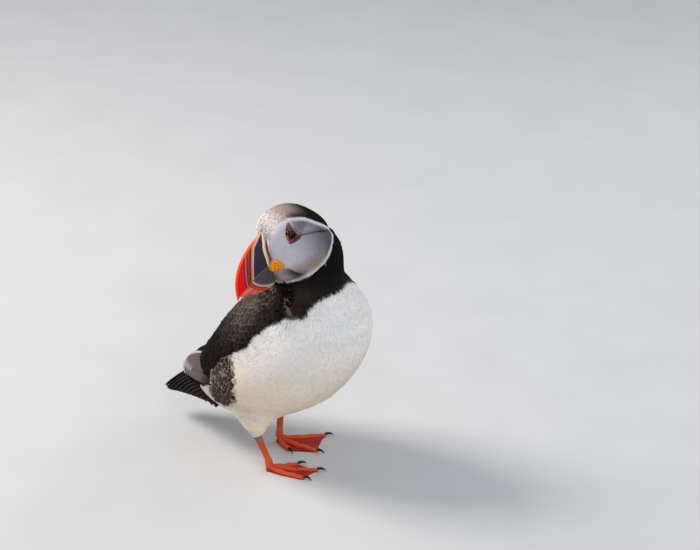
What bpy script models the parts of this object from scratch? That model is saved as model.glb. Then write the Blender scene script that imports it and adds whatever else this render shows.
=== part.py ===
"""Atlantic puffin, life size, standing with its head turned to its right.

Lengths below are in millimetres and become metres in build_mesh(). The bird's
own frame has X to its left, -Y forward and Z up, with the floor at Z = 0 and
the middle of the trunk at X = 0. The finished bird is then moved so that the
middle of its bounding box stands over the origin.
"""
import math

import bmesh
import bpy
import numpy as np
from mathutils import Vector

MM = 0.001
GAP = 0.3                      # clearance between neighbouring pieces
COLLECTION = "atlantic_puffin"
CUTTERS = "cutters"

# Trunk and neck: sections from the rump forward and up the neck. Each row is
# the section's back point (y, z), its belly point (y, z), its half width and
# how far it lies to the left.
BODY_STATIONS = (
    (94, 41, 92, 37, 2, 0),
    (89, 49, 82, 33, 8, 0),
    (79, 63, 68, 30, 16, 0),
    (65, 82, 46, 27, 27, 0),
    (50, 103, 18.6, 27.5, 37, 0),
    (37, 119, -8.8, 41.2, 42, 0),
    (26, 131, -34.5, 60.1, 43.5, 0),
    (18, 141, -53.8, 89.2, 42, 0),
    (13, 149, -56.6, 116.8, 36.6, 0),
    (9, 157, -39.4, 140.6, 25.8, 0),
    (5, 166, -37.5, 154, 21.5, 1),
    (1, 174, -36, 166, 18.5, 3),
    (-6, 183, -30, 179, 10, 4),
)
BODY_SAG = 0.10                # how far the widest line lies below the middle
TRUNK_RINGS = 22
NECK_RINGS = 10
BODY_SIDES = 32
NECK_START = 8.35              # station where the trunk gives way to the neck

# The flank's loose feathers stand out beside the wing's lower edge: how far,
# at which station and angle, and how wide each way.
FLANK_LIFT = 2.6
FLANK_PLACE = (4.6, 1.6)
FLANK_ANGLE = (92, 22)

# Wing: a shell on the trunk. Along it, the stations and the angles from the
# back's middle line (degrees) of its upper and lower edge.
WING_SPAN = (2.55, 8.05)
WING_UPPER = (30, 21, 17, 16, 20, 34)
WING_LOWER = (70, 78, 70, 67, 70, 64)
WING_THICK = 3.2
WING_EDGE = 0.7
WING_CUT_DEPTH = 7             # how far the cutter for the primaries reaches inwards

# Folded primaries: a blade from the end of the wing to above the tail.
PRIMARY_ROOT = (27, 46, 67)
PRIMARY_TIP = (7.5, 91, 50)
PRIMARY_BOW = 4.0
PRIMARY_DEPTH = (12, 11.5, 10.5, 8.5, 4.0)
PRIMARY_THICK = (2.6, 1.2)
PRIMARY_LEAN = 34              # degrees that the blade leans in over the rump

# Tail: an arched fan. Where its feathers start and end (x, y, z), from the
# middle one to the outermost.
TAIL_ROOTS = ((0, 66, 59), (7, 64, 57), (12, 60, 53), (16, 55, 47), (18, 49, 41))
TAIL_TIPS = ((0, 115.3, 22.5), (6, 108, 24), (11, 95, 28.5), (15.5, 80, 32), (18.5, 62, 33.5))
TAIL_BOW = 3.0
TAIL_THICK = (2.6, 1.1)
TAIL_FEATHERS = 6              # on each side

# Head: frame at the culmen's base, turned to the bird's right and tipped down.
HEAD_ORIGIN = (-30, 2.3, 186.6)
HEAD_YAW = 112.9
HEAD_PITCH = -16.4
HEAD_ROLL = 16.1
# Each row is the distance forward of the culmen's base, the top, the bottom
# and the half width there.
HEAD_STATIONS = (
    (-43.6, -15, -21, 2.5),
    (-41.8, -9.4, -27, 9.3),
    (-37.6, -2.6, -33, 14.8),
    (-30.5, 5.2, -37, 18.6),
    (-22, 9.6, -38.8, 19.2),
    (-13.5, 10.8, -39, 17.8),
    (-6.5, 9.4, -38, 16.2),
    (-1.6, 6.4, -36.5, 13.8),
    (0, 1.6, -34, 11.0),
)
HEAD_SAG = 0.12
HEAD_SQUARE = 0.25             # how square its sections grow towards the bill
HEAD_RINGS = 17
HEAD_SIDES = 26
BASE_SLANT = 0.15              # the bill's base leans forward towards the chin

# Bill outlines in the head's frame, (forward, up): cubic curves.
CULMEN = ((0, 0), (13, -3.2), (33.5, -13.5), (34.6, -34.3))
GAPE = ((4, -20.2), (13, -21.8), (23, -24.4), (32.6, -31.2))
GONYS = ((4.8, -33.4), (9.5, -40.4), (21, -34), (32.8, -32.2))
BILL_HALF_WIDTH = 7.8
RIDGE_WIDTH = (0.07, 0.14)     # share of the culmen and of the gape that the ridge takes
RIDGE_PROUD = 0.7
BILL_RINGS = 10
BILL_END = 0.985               # the mandibles end just short of their curves' ends

# Eye, its ring and the horny plates round it.
EYE_AT = (-12.9, -6.5)
EYE_RADIUS = 3.5
EYE_SHOWS = 1.5
RING_RADIUS = 3.2
RING_WIRE = 0.65
HORN_OUTLINE = ((-1.9, 4.1), (0.1, 4.6), (2.0, 4.1), (0.7, 6.4), (-1.3, 8.3), (-2.2, 6.5))
BAR_OUTLINE = ((2.8, -4.6), (-1.0, -4.5), (-5.2, -3.9), (-5.7, -5.0), (-1.5, -5.8), (1.7, -5.9))

ROSETTE_AT = (2.5, -22.0)
ROSETTE_SIZE = (5.2, 2.6, 4.4)

# Legs and feet: heel, then the three toe ends from the inner to the outer.
TARSUS_RADIUS = 2.5
ANKLE_TOP = 5.0
HEEL_RADIUS = 2.9
TOE_ROOT_SPREAD = 1.9
TOE_HALF_WIDTH = 2.1
TOE_HEIGHT = 3.4
WEB_THICK = 0.9
WEB_HOLLOW = 0.05
CLAW_LENGTH = 6.3
CLAW_RADIUS = 1.25
LEGS = {
    "right": {
        "hip": (-24, 16, 46),
        "knee": (-24.5, 13, 24),
        "heel": (-24.7, 2.8),
        "toes": ((-7.8, -10.3), (-6.8, -26), (-20.9, -24.4)),
    },
    "left": {
        "hip": (21, 27, 46),
        "knee": (16.5, 23, 22),
        "heel": (11.2, 19.6),
        "toes": ((4.0, 6.6), (14.1, -11.0), (35.5, -3.2)),
    },
}

# Colours: linear RGB, roughness.
FINISHES = {
    "plumage_black": ((0.018, 0.015, 0.014), 0.8),
    "plumage_brown": ((0.05, 0.037, 0.03), 0.8),
    "plumage_white": ((0.84, 0.83, 0.80), 0.85),
    "plumage_face": ((0.62, 0.64, 0.68), 0.85),
    "bill_red": ((0.78, 0.07, 0.02), 0.4),
    "bill_slate": ((0.09, 0.10, 0.13), 0.45),
    "bill_cream": ((0.78, 0.68, 0.46), 0.5),
    "rosette_orange": ((0.85, 0.36, 0.02), 0.55),
    "leg_orange": ((0.76, 0.13, 0.04), 0.45),
    "claw_black": ((0.012, 0.011, 0.012), 0.35),
    "eye_dark": ((0.012, 0.008, 0.007), 0.05),
    "eye_ring_red": ((0.55, 0.03, 0.02), 0.5),
    "horn_grey": ((0.12, 0.13, 0.16), 0.5),
}


def unit(vector):
    """The vector at length one."""
    vector = np.asarray(vector, float)
    return vector / np.linalg.norm(vector)


def head_axes():
    """Forward, left and up of the turned head, in the bird's frame."""
    yaw, pitch, roll = (math.radians(a) for a in (HEAD_YAW, HEAD_PITCH, HEAD_ROLL))
    forward = np.array((-math.sin(yaw) * math.cos(pitch),
                        -math.cos(yaw) * math.cos(pitch), math.sin(pitch)))
    level_left = unit(np.cross((0, 0, 1), forward))
    level_up = np.cross(forward, level_left)
    left = math.cos(roll) * level_left + math.sin(roll) * level_up
    return forward, left, np.cross(forward, left)


HEAD_FORWARD, HEAD_LEFT, HEAD_UP = head_axes()


def head_point(forward, left, up):
    """A point given in the head's frame, in the bird's frame."""
    return (np.array(HEAD_ORIGIN, float) + forward * HEAD_FORWARD
            + left * HEAD_LEFT + up * HEAD_UP)


def at_station(stations, place):
    """Stations read at a fractional index, on a smooth curve through them."""
    table = np.array(stations, float)
    last = len(table) - 1
    start = min(int(place), last - 1)
    rows = [table[min(max(start + k, 0), last)] for k in (-1, 0, 1, 2)]
    t = place - start
    slope_in = (rows[2] - rows[0]) / 2
    slope_out = (rows[3] - rows[1]) / 2
    return ((2 * t**3 - 3 * t**2 + 1) * rows[1] + (t**3 - 2 * t**2 + t) * slope_in
            + (3 * t**2 - 2 * t**3) * rows[2] + (t**3 - t**2) * slope_out)


def bezier(points, t):
    """A point on a cubic curve."""
    p = np.array(points, float)
    s = 1 - t
    return s**3 * p[0] + 3 * s * s * t * p[1] + 3 * s * t * t * p[2] + t**3 * p[3]


def make_material(name):
    """A Principled material of the named finish."""
    color, roughness = FINISHES[name]
    material = bpy.data.materials.get(name) or bpy.data.materials.new(name)
    material.use_nodes = True
    shader = material.node_tree.nodes["Principled BSDF"]
    shader.inputs["Base Color"].default_value = (*color, 1.0)
    shader.inputs["Roughness"].default_value = roughness
    material.diffuse_color = (*color, 1.0)
    return material


def add_object(name, mesh, finish):
    """Link a mesh to the parts collection, with its faces pointing out."""
    work = bmesh.new()
    work.from_mesh(mesh)
    bmesh.ops.remove_doubles(work, verts=work.verts, dist=0.00002)
    bmesh.ops.recalc_face_normals(work, faces=work.faces)
    if work.calc_volume(signed=True) < 0:
        bmesh.ops.reverse_faces(work, faces=work.faces)
    bmesh.ops.triangulate(work, faces=[f for f in work.faces if len(f.verts) > 4])
    work.to_mesh(mesh)
    work.free()
    mesh.shade_smooth()
    mesh.set_sharp_from_angle(angle=math.radians(40))
    mesh.materials.append(make_material(finish))
    piece = bpy.data.objects.new(name, mesh)
    bpy.data.collections[COLLECTION].objects.link(piece)
    return piece


def build_mesh(name, points, faces):
    """A mesh from points in millimetres."""
    mesh = bpy.data.meshes.new(name)
    mesh.from_pydata([Vector(p) * MM for p in np.asarray(points)], [], faces)
    return mesh


def loft(name, rings, finish):
    """A closed solid through rings of equally many points."""
    rings = np.asarray(rings)
    count, sides = rings.shape[:2]
    faces = []
    for r in range(count - 1):
        for s in range(sides):
            a, b = r * sides + s, r * sides + (s + 1) % sides
            faces.append((a, b, b + sides, a + sides))
    faces.append(tuple(range(sides)))
    faces.append(tuple(range((count - 1) * sides, count * sides))[::-1])
    return add_object(name, build_mesh(name, rings.reshape(-1, 3), faces), finish)


def slab(name, upper, lower, finish):
    """A closed solid between two grids of points of the same shape."""
    rows, columns = upper.shape[:2]
    rim = ([(0, c) for c in range(columns)]
           + [(r, columns - 1) for r in range(1, rows)]
           + [(rows - 1, c) for c in range(columns - 2, -1, -1)]
           + [(r, 0) for r in range(rows - 2, 0, -1)])
    size = rows * columns
    faces = []
    for r in range(rows - 1):
        for c in range(columns - 1):
            a = r * columns + c
            quad = (a, a + 1, a + columns + 1, a + columns)
            faces.append(quad)
            faces.append(tuple(size + i for i in reversed(quad)))
    for (r0, c0), (r1, c1) in zip(rim, rim[1:] + rim[:1]):
        a, b = r0 * columns + c0, r1 * columns + c1
        faces.append((b, a, a + size, b + size))
    points = np.concatenate((upper.reshape(-1, 3), lower.reshape(-1, 3)))
    return add_object(name, build_mesh(name, points, faces), finish)


def grown(source, distance):
    """A cutter: the source with its surface moved out by a distance."""
    mesh = source.data.copy()
    normals = [v.normal.copy() for v in mesh.vertices]
    for vertex, normal in zip(mesh.vertices, normals):
        vertex.co += normal * distance * MM
    cutter = bpy.data.objects.new(source.name + "_cutter", mesh)
    cutter.hide_render = True
    cutter.display_type = "WIRE"
    bpy.data.collections[CUTTERS].objects.link(cutter)
    return cutter


def cut(piece, cutter):
    """Take the cutter's space out of a piece."""
    boolean = piece.modifiers.new("clear_of_" + cutter.name, "BOOLEAN")
    boolean.operation = "DIFFERENCE"
    boolean.object = cutter
    boolean.solver = "EXACT"


def flank_lift(place, angle):
    """How far the flank's feathers stand out from the trunk's section."""
    turn = math.degrees(math.acos(math.cos(angle)))
    along = (place - FLANK_PLACE[0]) / FLANK_PLACE[1]
    around = (turn - FLANK_ANGLE[0]) / FLANK_ANGLE[1]
    return FLANK_LIFT * math.exp(-along**2 - around**2)


def body_point(place, angle, side=1.0, lift=0.0):
    """A point on the trunk or neck, at an angle from the back's middle line."""
    row = at_station(BODY_STATIONS, place)
    back, belly, half_width, shift = row[0:2], row[2:4], row[4], row[5]
    middle = (back + belly) / 2
    axis = (back - belly) / 2
    depth = np.linalg.norm(axis)
    lift = lift + flank_lift(place, angle)
    across = math.cos(angle) - BODY_SAG * math.sin(angle) ** 2
    yz = middle + axis * across + axis / depth * lift * math.cos(angle)
    x = side * (half_width + lift) * math.sin(angle) + shift
    return np.array((x, yz[0], yz[1]))


def body_ring(place):
    """One section of the trunk or neck."""
    angles = np.linspace(0, 2 * math.pi, BODY_SIDES, endpoint=False)
    return [body_point(place, a) for a in angles]


def make_trunk_and_neck():
    """The trunk, and the neck that goes on from its last section."""
    last = len(BODY_STATIONS) - 1
    trunk_places = np.linspace(0, NECK_START, TRUNK_RINGS)
    trunk = loft("trunk", [body_ring(p) for p in trunk_places], "plumage_white")
    step = np.linalg.norm(body_point(NECK_START + 0.1, math.pi / 2)
                          - body_point(NECK_START, math.pi / 2)) / 0.1
    neck_places = np.linspace(NECK_START + GAP * 1.6 / step, last, NECK_RINGS)
    neck = loft("neck", [body_ring(p) for p in neck_places], "plumage_black")
    return trunk, neck


def wing_grids(side, inner_lift):
    """The wing's outer side, and an inner side at a lift from the trunk."""
    places = np.linspace(WING_SPAN[0], WING_SPAN[1], 15)
    outer, inner = [], []
    for i, place in enumerate(places):
        along = i / (len(places) - 1)
        knot = along * (len(WING_UPPER) - 1)
        top = at_station([[a] for a in WING_UPPER], knot)[0]
        low = at_station([[a] for a in WING_LOWER], knot)[0]
        outer_row, inner_row = [], []
        for v in np.linspace(0, 1, 8):
            angle = math.radians(top + (low - top) * v)
            swell = (math.sin(math.pi * v) ** 0.5) * (math.sin(math.pi * along) ** 0.5)
            thick = WING_EDGE + (WING_THICK - WING_EDGE) * swell
            outer_row.append(body_point(place, angle, side, GAP * 1.5 + thick))
            inner_row.append(body_point(place, angle, side, inner_lift))
        outer.append(outer_row)
        inner.append(inner_row)
    return np.array(outer), np.array(inner)


def make_wing(name, side):
    """A folded wing: a shell on the side of the trunk."""
    return slab(name, *wing_grids(side, GAP * 1.5), "plumage_brown")


def wing_cutter(label, side):
    """The wing's space down into the trunk, to clear the primaries of it."""
    block = slab("wing_block_" + label, *wing_grids(side, -WING_CUT_DEPTH), "plumage_brown")
    cutter = grown(block, GAP)
    bpy.data.objects.remove(block)
    return cutter


def make_primaries(name, side):
    """The folded primaries: one blade, narrowing to a rounded tip."""
    root = np.array(PRIMARY_ROOT, float)
    tip = np.array(PRIMARY_TIP, float)
    run = unit(tip - root)
    lean = math.radians(PRIMARY_LEAN)
    out = unit(np.cross(run, (0, 0, 1)))
    out = -out if out[0] < 0 else out
    rise = unit(np.cross(out, run))
    rise = -rise if rise[2] < 0 else rise
    height = unit(rise * math.cos(lean) - out * math.sin(lean))
    face = unit(out * math.cos(lean) + rise * math.sin(lean))
    outer, inner = [], []
    for t in np.linspace(0, 1, 12):
        depth = at_station([[d] for d in PRIMARY_DEPTH], t * (len(PRIMARY_DEPTH) - 1))[0]
        thick = PRIMARY_THICK[0] + (PRIMARY_THICK[1] - PRIMARY_THICK[0]) * t
        middle = root + (tip - root) * t + out * PRIMARY_BOW * math.sin(math.pi * t)
        outer_row, inner_row = [], []
        for v in np.linspace(-1, 1, 7):
            crown = 1 - v * v
            spot = middle + height * depth * v + face * 1.6 * crown
            spot = spot + run * (2.5 * crown - 3.0 * max(0, -v) * t)
            outer_row.append(spot)
            inner_row.append(spot - face * (thick * (0.45 + 0.55 * crown)))
        outer.append(outer_row)
        inner.append(inner_row)
    outer, inner = np.array(outer), np.array(inner)
    outer[..., 0] *= side
    inner[..., 0] *= side
    return slab(name, outer, inner, "plumage_brown")


def make_tail():
    """The tail: an arched fan whose feathers end in steps."""
    upper, lower = [], []
    last = len(TAIL_ROOTS) - 1
    for t in np.linspace(0, 1, 6):
        thick = TAIL_THICK[0] + (TAIL_THICK[1] - TAIL_THICK[0]) * t
        upper_row, lower_row = [], []
        for c in range(-2 * TAIL_FEATHERS, 2 * TAIL_FEATHERS + 1):
            v = abs(c) / (2 * TAIL_FEATHERS)
            side = math.copysign(1.0, c)
            root, tip = at_station(TAIL_ROOTS, v * last), at_station(TAIL_TIPS, v * last)
            run = tip - root
            out = unit(np.array((v * 1.2, 0.25, 1.0 - 0.75 * v)))
            notch = 1 - 0.05 * (abs(c) % 2) * t**4
            spot = root + run * t * notch + out * TAIL_BOW * math.sin(math.pi * t)
            under = spot - out * thick
            upper_row.append(spot * (side, 1, 1))
            lower_row.append(under * (side * (1 if c else 0), 1, 1))
        upper.append(upper_row)
        lower.append(lower_row)
    return slab("tail", np.array(upper), np.array(lower), "plumage_black")


def head_section(place, angle):
    """Shares of a head section's half width and half height at an angle."""
    power = 1 - HEAD_SQUARE * min(1.0, max(0.0, (place - 4) / 3))
    aside, across = math.sin(angle), math.cos(angle)
    aside = math.copysign(abs(aside) ** power, aside)
    return aside, math.copysign(abs(across) ** power, across) - HEAD_SAG * aside**2


def make_head():
    """The head: sections square to its own forward axis."""
    last = len(HEAD_STATIONS) - 1
    rings = []
    for place in np.linspace(0, last, HEAD_RINGS):
        forward, top, bottom, half_width = at_station(HEAD_STATIONS, place)
        middle, half_height = (top + bottom) / 2, (top - bottom) / 2
        slant = BASE_SLANT * (place / last) ** 3
        ring = []
        for angle in np.linspace(0, 2 * math.pi, HEAD_SIDES, endpoint=False):
            aside, across = head_section(place, angle)
            up = middle + half_height * across
            ring.append(head_point(forward - GAP - slant * up, half_width * aside, up))
        rings.append(ring)
    return loft("head", rings, "plumage_face")


def bill_ring(top, bottom, half_width, edge, steps=7):
    """A wedge section: narrow at the top edge, widest near the bottom."""
    top, bottom = np.array(top), np.array(bottom)
    levels = np.linspace(0, 1, steps)
    left = []
    for v in levels:
        spread = edge + (half_width - edge) * math.sin(v * math.pi / 2) ** 0.8
        forward, up = top + (bottom - top) * v
        left.append((forward, spread, up))
    right = [(f, -w, u) for f, w, u in reversed(left)]
    return [head_point(*p) for p in left + right]


def bill_half_width(t):
    """The bill's half width, from its base to its tip."""
    return BILL_HALF_WIDTH * (1 - t) ** 0.75 * (1 - 0.1 * t) + 0.75


def make_bill_upper():
    """The upper mandible, in front of the ridge."""
    rings = []
    for share in np.linspace(0, 1, BILL_RINGS):
        t_top, t_low = (w + 0.01 + (BILL_END - w - 0.01) * share for w in RIDGE_WIDTH)
        top, bottom = bezier(CULMEN, t_top), bezier(GAPE, t_low)
        half_width = bill_half_width((t_top + t_low) / 2)
        rings.append(bill_ring(top, bottom, half_width, 0.7 + 0.5 * (1 - t_top)))
    return loft("bill_upper", rings, "bill_red")


def make_bill_lower():
    """The lower mandible, under the gape line."""
    rings = []
    for t in np.linspace(0.0, BILL_END - 0.02, BILL_RINGS):
        top, bottom = bezier(GAPE, t), bezier(GONYS, t)
        gap = np.array((0, -GAP * 1.2))
        rings.append(bill_ring(bottom, top + gap, bill_half_width(t) * 0.96, 0.8 + 1.0 * (1 - t)))
    return loft("bill_lower", rings, "bill_slate")


def make_bill_ridge():
    """The raised fleshy ridge along the base of the upper mandible."""
    rings = []
    for share in (0.0, 0.35, 0.7, 1.0):
        t_top, t_low = (w * share for w in RIDGE_WIDTH)
        proud = RIDGE_PROUD * math.sin(math.pi * min(max(share, 0.15), 0.85))
        top = bezier(CULMEN, t_top) + np.array((0, proud))
        half_width = bill_half_width((t_top + t_low) / 2) + proud
        rings.append(bill_ring(top, bezier(GAPE, t_low), half_width, 2.2))
    return loft("bill_ridge", rings, "bill_cream")


def head_surface(forward, up):
    """How far out the head's side lies at a place on its profile."""
    best = 0.0
    last = len(HEAD_STATIONS) - 1
    places = np.linspace(0, last, 400)
    rows = [at_station(HEAD_STATIONS, p) for p in places]
    near = min(range(400), key=lambda i: abs(
        rows[i][0] - GAP - BASE_SLANT * (places[i] / last) ** 3 * up - forward))
    _, top, bottom, half_width = rows[near]
    middle, half_height = (top + bottom) / 2, (top - bottom) / 2
    for angle in np.linspace(0, math.pi, 721):
        aside, across = head_section(places[near], angle)
        if abs(middle + half_height * across - up) < half_height * 0.01:
            best = max(best, half_width * aside)
    return best


def blob(name, centre, size, finish, segments=16, rings=10):
    """An ellipsoid with its axes along the head's."""
    mesh = bpy.data.meshes.new(name)
    work = bmesh.new()
    bmesh.ops.create_uvsphere(work, u_segments=segments, v_segments=rings, radius=1.0)
    for vertex in work.verts:
        f, l, u = (c * s for c, s in zip(vertex.co, size))
        vertex.co = Vector(head_point(centre[0] + f, centre[1] + l, centre[2] + u)) * MM
    work.to_mesh(mesh)
    work.free()
    return add_object(name, mesh, finish)


def trim(name, outline, finish, side):
    """A domed plate that lies on the side of the head."""
    middle = np.mean(outline, axis=0)
    rings = []
    for lift, inset in ((-0.6, 0.0), (0.7, 0.0), (1.15, 0.3), (1.35, 0.7)):
        ring = []
        for point in outline:
            f, u = np.array(point) + (middle - np.array(point)) * inset
            ring.append(head_point(f, side * (head_surface(f, u) + lift), u))
        rings.append(ring)
    return loft(name, rings, finish)


def make_eye_set(head, label, side):
    """The eye, the ring round it, and the plates above and below."""
    forward, up = EYE_AT
    surface = head_surface(forward, up)
    eye = blob("eye_" + label, (forward, side * (surface - EYE_RADIUS + EYE_SHOWS), up),
               (EYE_RADIUS,) * 3, "eye_dark", 14, 8)
    ring_rings = []
    for a in np.linspace(0, 2 * math.pi, 16, endpoint=False):
        pull = 1 + 0.32 * max(0, math.cos(a - math.pi)) ** 4
        ring = []
        for b in np.linspace(0, 2 * math.pi, 5, endpoint=False):
            r = RING_RADIUS * pull + RING_WIRE * math.cos(b)
            f = forward + r * math.cos(a)
            u = up + r * math.sin(a)
            left = head_surface(f, u) + 0.35 + RING_WIRE * math.sin(b)
            ring.append(head_point(f, side * left, u))
        ring_rings.append(ring)
    rings = np.array(ring_rings)
    count, sides = rings.shape[:2]
    faces = [(r * sides + s, r * sides + (s + 1) % sides,
              (r + 1) % count * sides + (s + 1) % sides, (r + 1) % count * sides + s)
             for r in range(count) for s in range(sides)]
    name = "eye_ring_" + label
    ring = add_object(name, build_mesh(name, rings.reshape(-1, 3), faces), "eye_ring_red")
    horn = trim("eye_horn_" + label,
                [(forward + f, up + u) for f, u in HORN_OUTLINE], "horn_grey", side)
    bar = trim("eye_bar_" + label,
               [(forward + f, up + u) for f, u in BAR_OUTLINE], "horn_grey", side)
    skin = grown(head, GAP)
    cut(head, grown(eye, GAP))
    cut(ring, skin)
    cut(ring, grown(eye, GAP))
    cut(horn, skin)
    cut(bar, skin)


def make_rosette(head, bill_parts, label, side):
    """The wrinkled rosette of bare skin at the corner of the gape."""
    forward, up = ROSETTE_AT
    surface = head_surface(min(forward, 0.0), up)
    rosette = blob("rosette_" + label, (forward - 1.0, side * (surface + 0.1), up),
                   ROSETTE_SIZE, "rosette_orange", 14, 8)
    cut(rosette, grown(head, GAP))
    for part in bill_parts:
        cut(rosette, grown(part, GAP))


def foot_frame(leg):
    """The heel, the foot's forward direction and the way to its outer toe."""
    heel = np.array(leg["heel"], float)
    runs = [np.array(t, float) - heel for t in leg["toes"]]
    forward = unit(sum(unit(r) for r in runs))
    across = np.array((forward[1], -forward[0]))
    if np.dot(across, runs[2] - runs[0]) < 0:
        across = -across
    return heel, forward, across


def toe_grid(leg):
    """The foot's upper side: toes with webs between them, heel to claws."""
    heel, forward, across = foot_frame(leg)
    roots = [heel + across * TOE_ROOT_SPREAD * k for k in (-1, 0, 1)]
    ends = [np.array(t, float) for t in leg["toes"]]
    sides = [np.array((e - r)[::-1]) * (1, -1) for r, e in zip(roots, ends)]
    sides = [unit(s) * math.copysign(1, np.dot(s, across)) for s in sides]
    rows = [heel_row(heel, forward, across)]
    for u in (0.0, 0.12, 0.3, 0.55, 0.8, 0.94, 1.0):
        row = []
        rise = max(0.0, 1 - u / 0.35) ** 1.5
        web_top = WEB_THICK + (ANKLE_TOP - 1.2 - WEB_THICK) * rise
        knuckle = 1 + 0.10 * math.cos(u * 6 * math.pi)
        toe_top = TOE_HEIGHT * knuckle * (1 - 0.35 * u) * (1 - rise) + ANKLE_TOP * rise
        width = TOE_HALF_WIDTH * (1 - 0.25 * u) * min(1.0, 0.4 + 1.5 * u)
        centres = [r + (e - r) * u for r, e in zip(roots, ends)]
        for i, centre in enumerate(centres):
            for offset, share in ((-1, 0.45), (-0.45, 0.94), (0.45, 0.94), (1, 0.45)):
                spot = centre + sides[i] * width * offset
                row.append((*spot, max(toe_top * share, web_top)))
            if i == 2:
                continue
            near = centre + sides[i] * width
            far = centres[i + 1] - sides[i + 1] * width
            for share in (0.3, 0.7):
                spot = near + (far - near) * share
                spot = heel + (spot - heel) * (1 - WEB_HOLLOW * u**4)
                row.append((*spot, web_top))
        rows.append(row)
    return np.array(rows)


def heel_row(heel, forward, across):
    """The round back end of the foot, as one row of the foot's grid."""
    row = []
    for v in np.linspace(-1, 1, 16):
        back = HEEL_RADIUS * math.sqrt(1 - 0.8 * v * v)
        spot = heel - forward * back + across * TOE_ROOT_SPREAD * 1.25 * v
        row.append((*spot, ANKLE_TOP * 0.72))
    return row


def make_claw(name, start, direction, base_z):
    """A small hooked claw whose tip meets the floor."""
    rings = []
    flat = unit(direction)
    across = np.array((flat[1], -flat[0], 0))
    for t in np.linspace(0, 1, 4):
        radius = CLAW_RADIUS * (1 - 0.75 * t)
        height = base_z * (1 - t**1.6) + radius * 0.9
        centre = np.array((start[0], start[1], 0)) + np.array((*flat, 0)) * CLAW_LENGTH * t
        ring = []
        for a in np.linspace(0, 2 * math.pi, 7, endpoint=False):
            spot = centre + across * radius * 0.8 * math.cos(a)
            ring.append((spot[0], spot[1], max(0.0, height + radius * math.sin(a))))
        rings.append(ring)
    return loft(name, rings, "claw_black")


def make_tube(name, path, radii, finish, sides=12, flatten=0.8):
    """A tapered tube, narrower across than fore and aft."""
    path = np.array(path, float)
    rings = []
    for i, centre in enumerate(path):
        run = unit(path[min(i + 1, len(path) - 1)] - path[max(i - 1, 0)])
        across = unit(np.cross(run, (0, 1, 0)))
        fore = np.cross(across, run)
        ring = []
        for a in np.linspace(0, 2 * math.pi, sides, endpoint=False):
            ring.append(centre + radii[i] * (flatten * math.cos(a) * across
                                             + math.sin(a) * fore))
        rings.append(ring)
    return loft(name, rings, finish)


def make_leg(label, trunk):
    """Feathered thigh, tarsus, webbed foot and claws of one side."""
    leg = LEGS[label]
    upper = toe_grid(leg)
    slab("foot_" + label, upper, upper * (1, 1, 0), "leg_orange")
    heel, forward, _ = foot_frame(leg)
    for toe_name, toe in zip(("inner", "middle", "outer"), leg["toes"]):
        direction = unit(np.array(toe, float) - heel)
        start = np.array(toe, float) + direction * GAP * 1.5
        make_claw("claw_" + toe_name + "_" + label, start, direction, 0.9)
    hip, knee = np.array(leg["hip"], float), np.array(leg["knee"], float)
    ankle = np.array((*(heel - forward * 0.6), ANKLE_TOP + GAP * 1.2))
    bend = ankle + np.array((0, 0, 2.2))
    shin = [knee + (bend - knee) * t for t in (0, 0.35, 0.75, 1.0)] + [ankle]
    radii = [TARSUS_RADIUS * k for k in (1.3, 1.05, 0.98, 1.15, 1.3)]
    make_tube("tarsus_" + label, shin, radii, "leg_orange")
    axis = unit(knee - bend)
    top = knee + axis * GAP * 1.2
    path = [top, top + axis * 1.5] + [top + (hip - top) * t for t in (0.25, 0.5, 0.75, 1)]
    thigh = make_tube("thigh_" + label, path, (4.0, 5.2, 8.0, 11.5, 14.0, 15.0),
                      "plumage_white", 16, 0.9)
    cut(thigh, grown(trunk, GAP))


def clear_scene():
    """Start from an empty scene with the two collections."""
    for old in list(bpy.data.objects):
        bpy.data.objects.remove(old, do_unlink=True)
    for name in (COLLECTION, CUTTERS):
        made = bpy.data.collections.new(name)
        bpy.context.scene.collection.children.link(made)


def stand_over_origin():
    """Move everything so that the bounding box stands centred on the origin."""
    corners = np.array([v.co[:] for o in bpy.data.collections[COLLECTION].objects
                        for v in o.data.vertices])
    middle = (corners.min(axis=0) + corners.max(axis=0)) / 2
    for name in (COLLECTION, CUTTERS):
        for piece in bpy.data.collections[name].objects:
            piece.location = (-middle[0], -middle[1], 0)


def build():
    """Build the whole bird."""
    clear_scene()
    trunk, neck = make_trunk_and_neck()
    head = make_head()
    cut(neck, grown(head, GAP))
    for label, side in (("left", 1.0), ("right", -1.0)):
        make_wing("wing_" + label, side)
        primaries = make_primaries("primaries_" + label, side)
        cut(primaries, grown(trunk, GAP))
        cut(primaries, wing_cutter(label, side))
        make_leg(label, trunk)
    tail = make_tail()
    cut(tail, grown(trunk, GAP))
    bill_parts = [make_bill_ridge(), make_bill_upper(), make_bill_lower()]
    for label, side in (("left", 1.0), ("right", -1.0)):
        make_eye_set(head, label, side)
        make_rosette(head, bill_parts, label, side)
    stand_over_origin()


build()
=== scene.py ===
"""Looks of the standing Atlantic puffin: skin, plumage, bill, eyes, legs and studio.

Lengths are millimetres in the bird's own frame until to_world() turns them into
metres: X to the bird's left, -Y forward, Z up, the floor at Z = 0 and the middle
of the trunk at X = 0. The head has a frame of its own at the culmen's base.
"""
import copy
import math

import bmesh
import bpy
import numpy as np
from mathutils import Matrix, Vector
from mathutils.bvhtree import BVHTree
from mathutils.kdtree import KDTree


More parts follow.
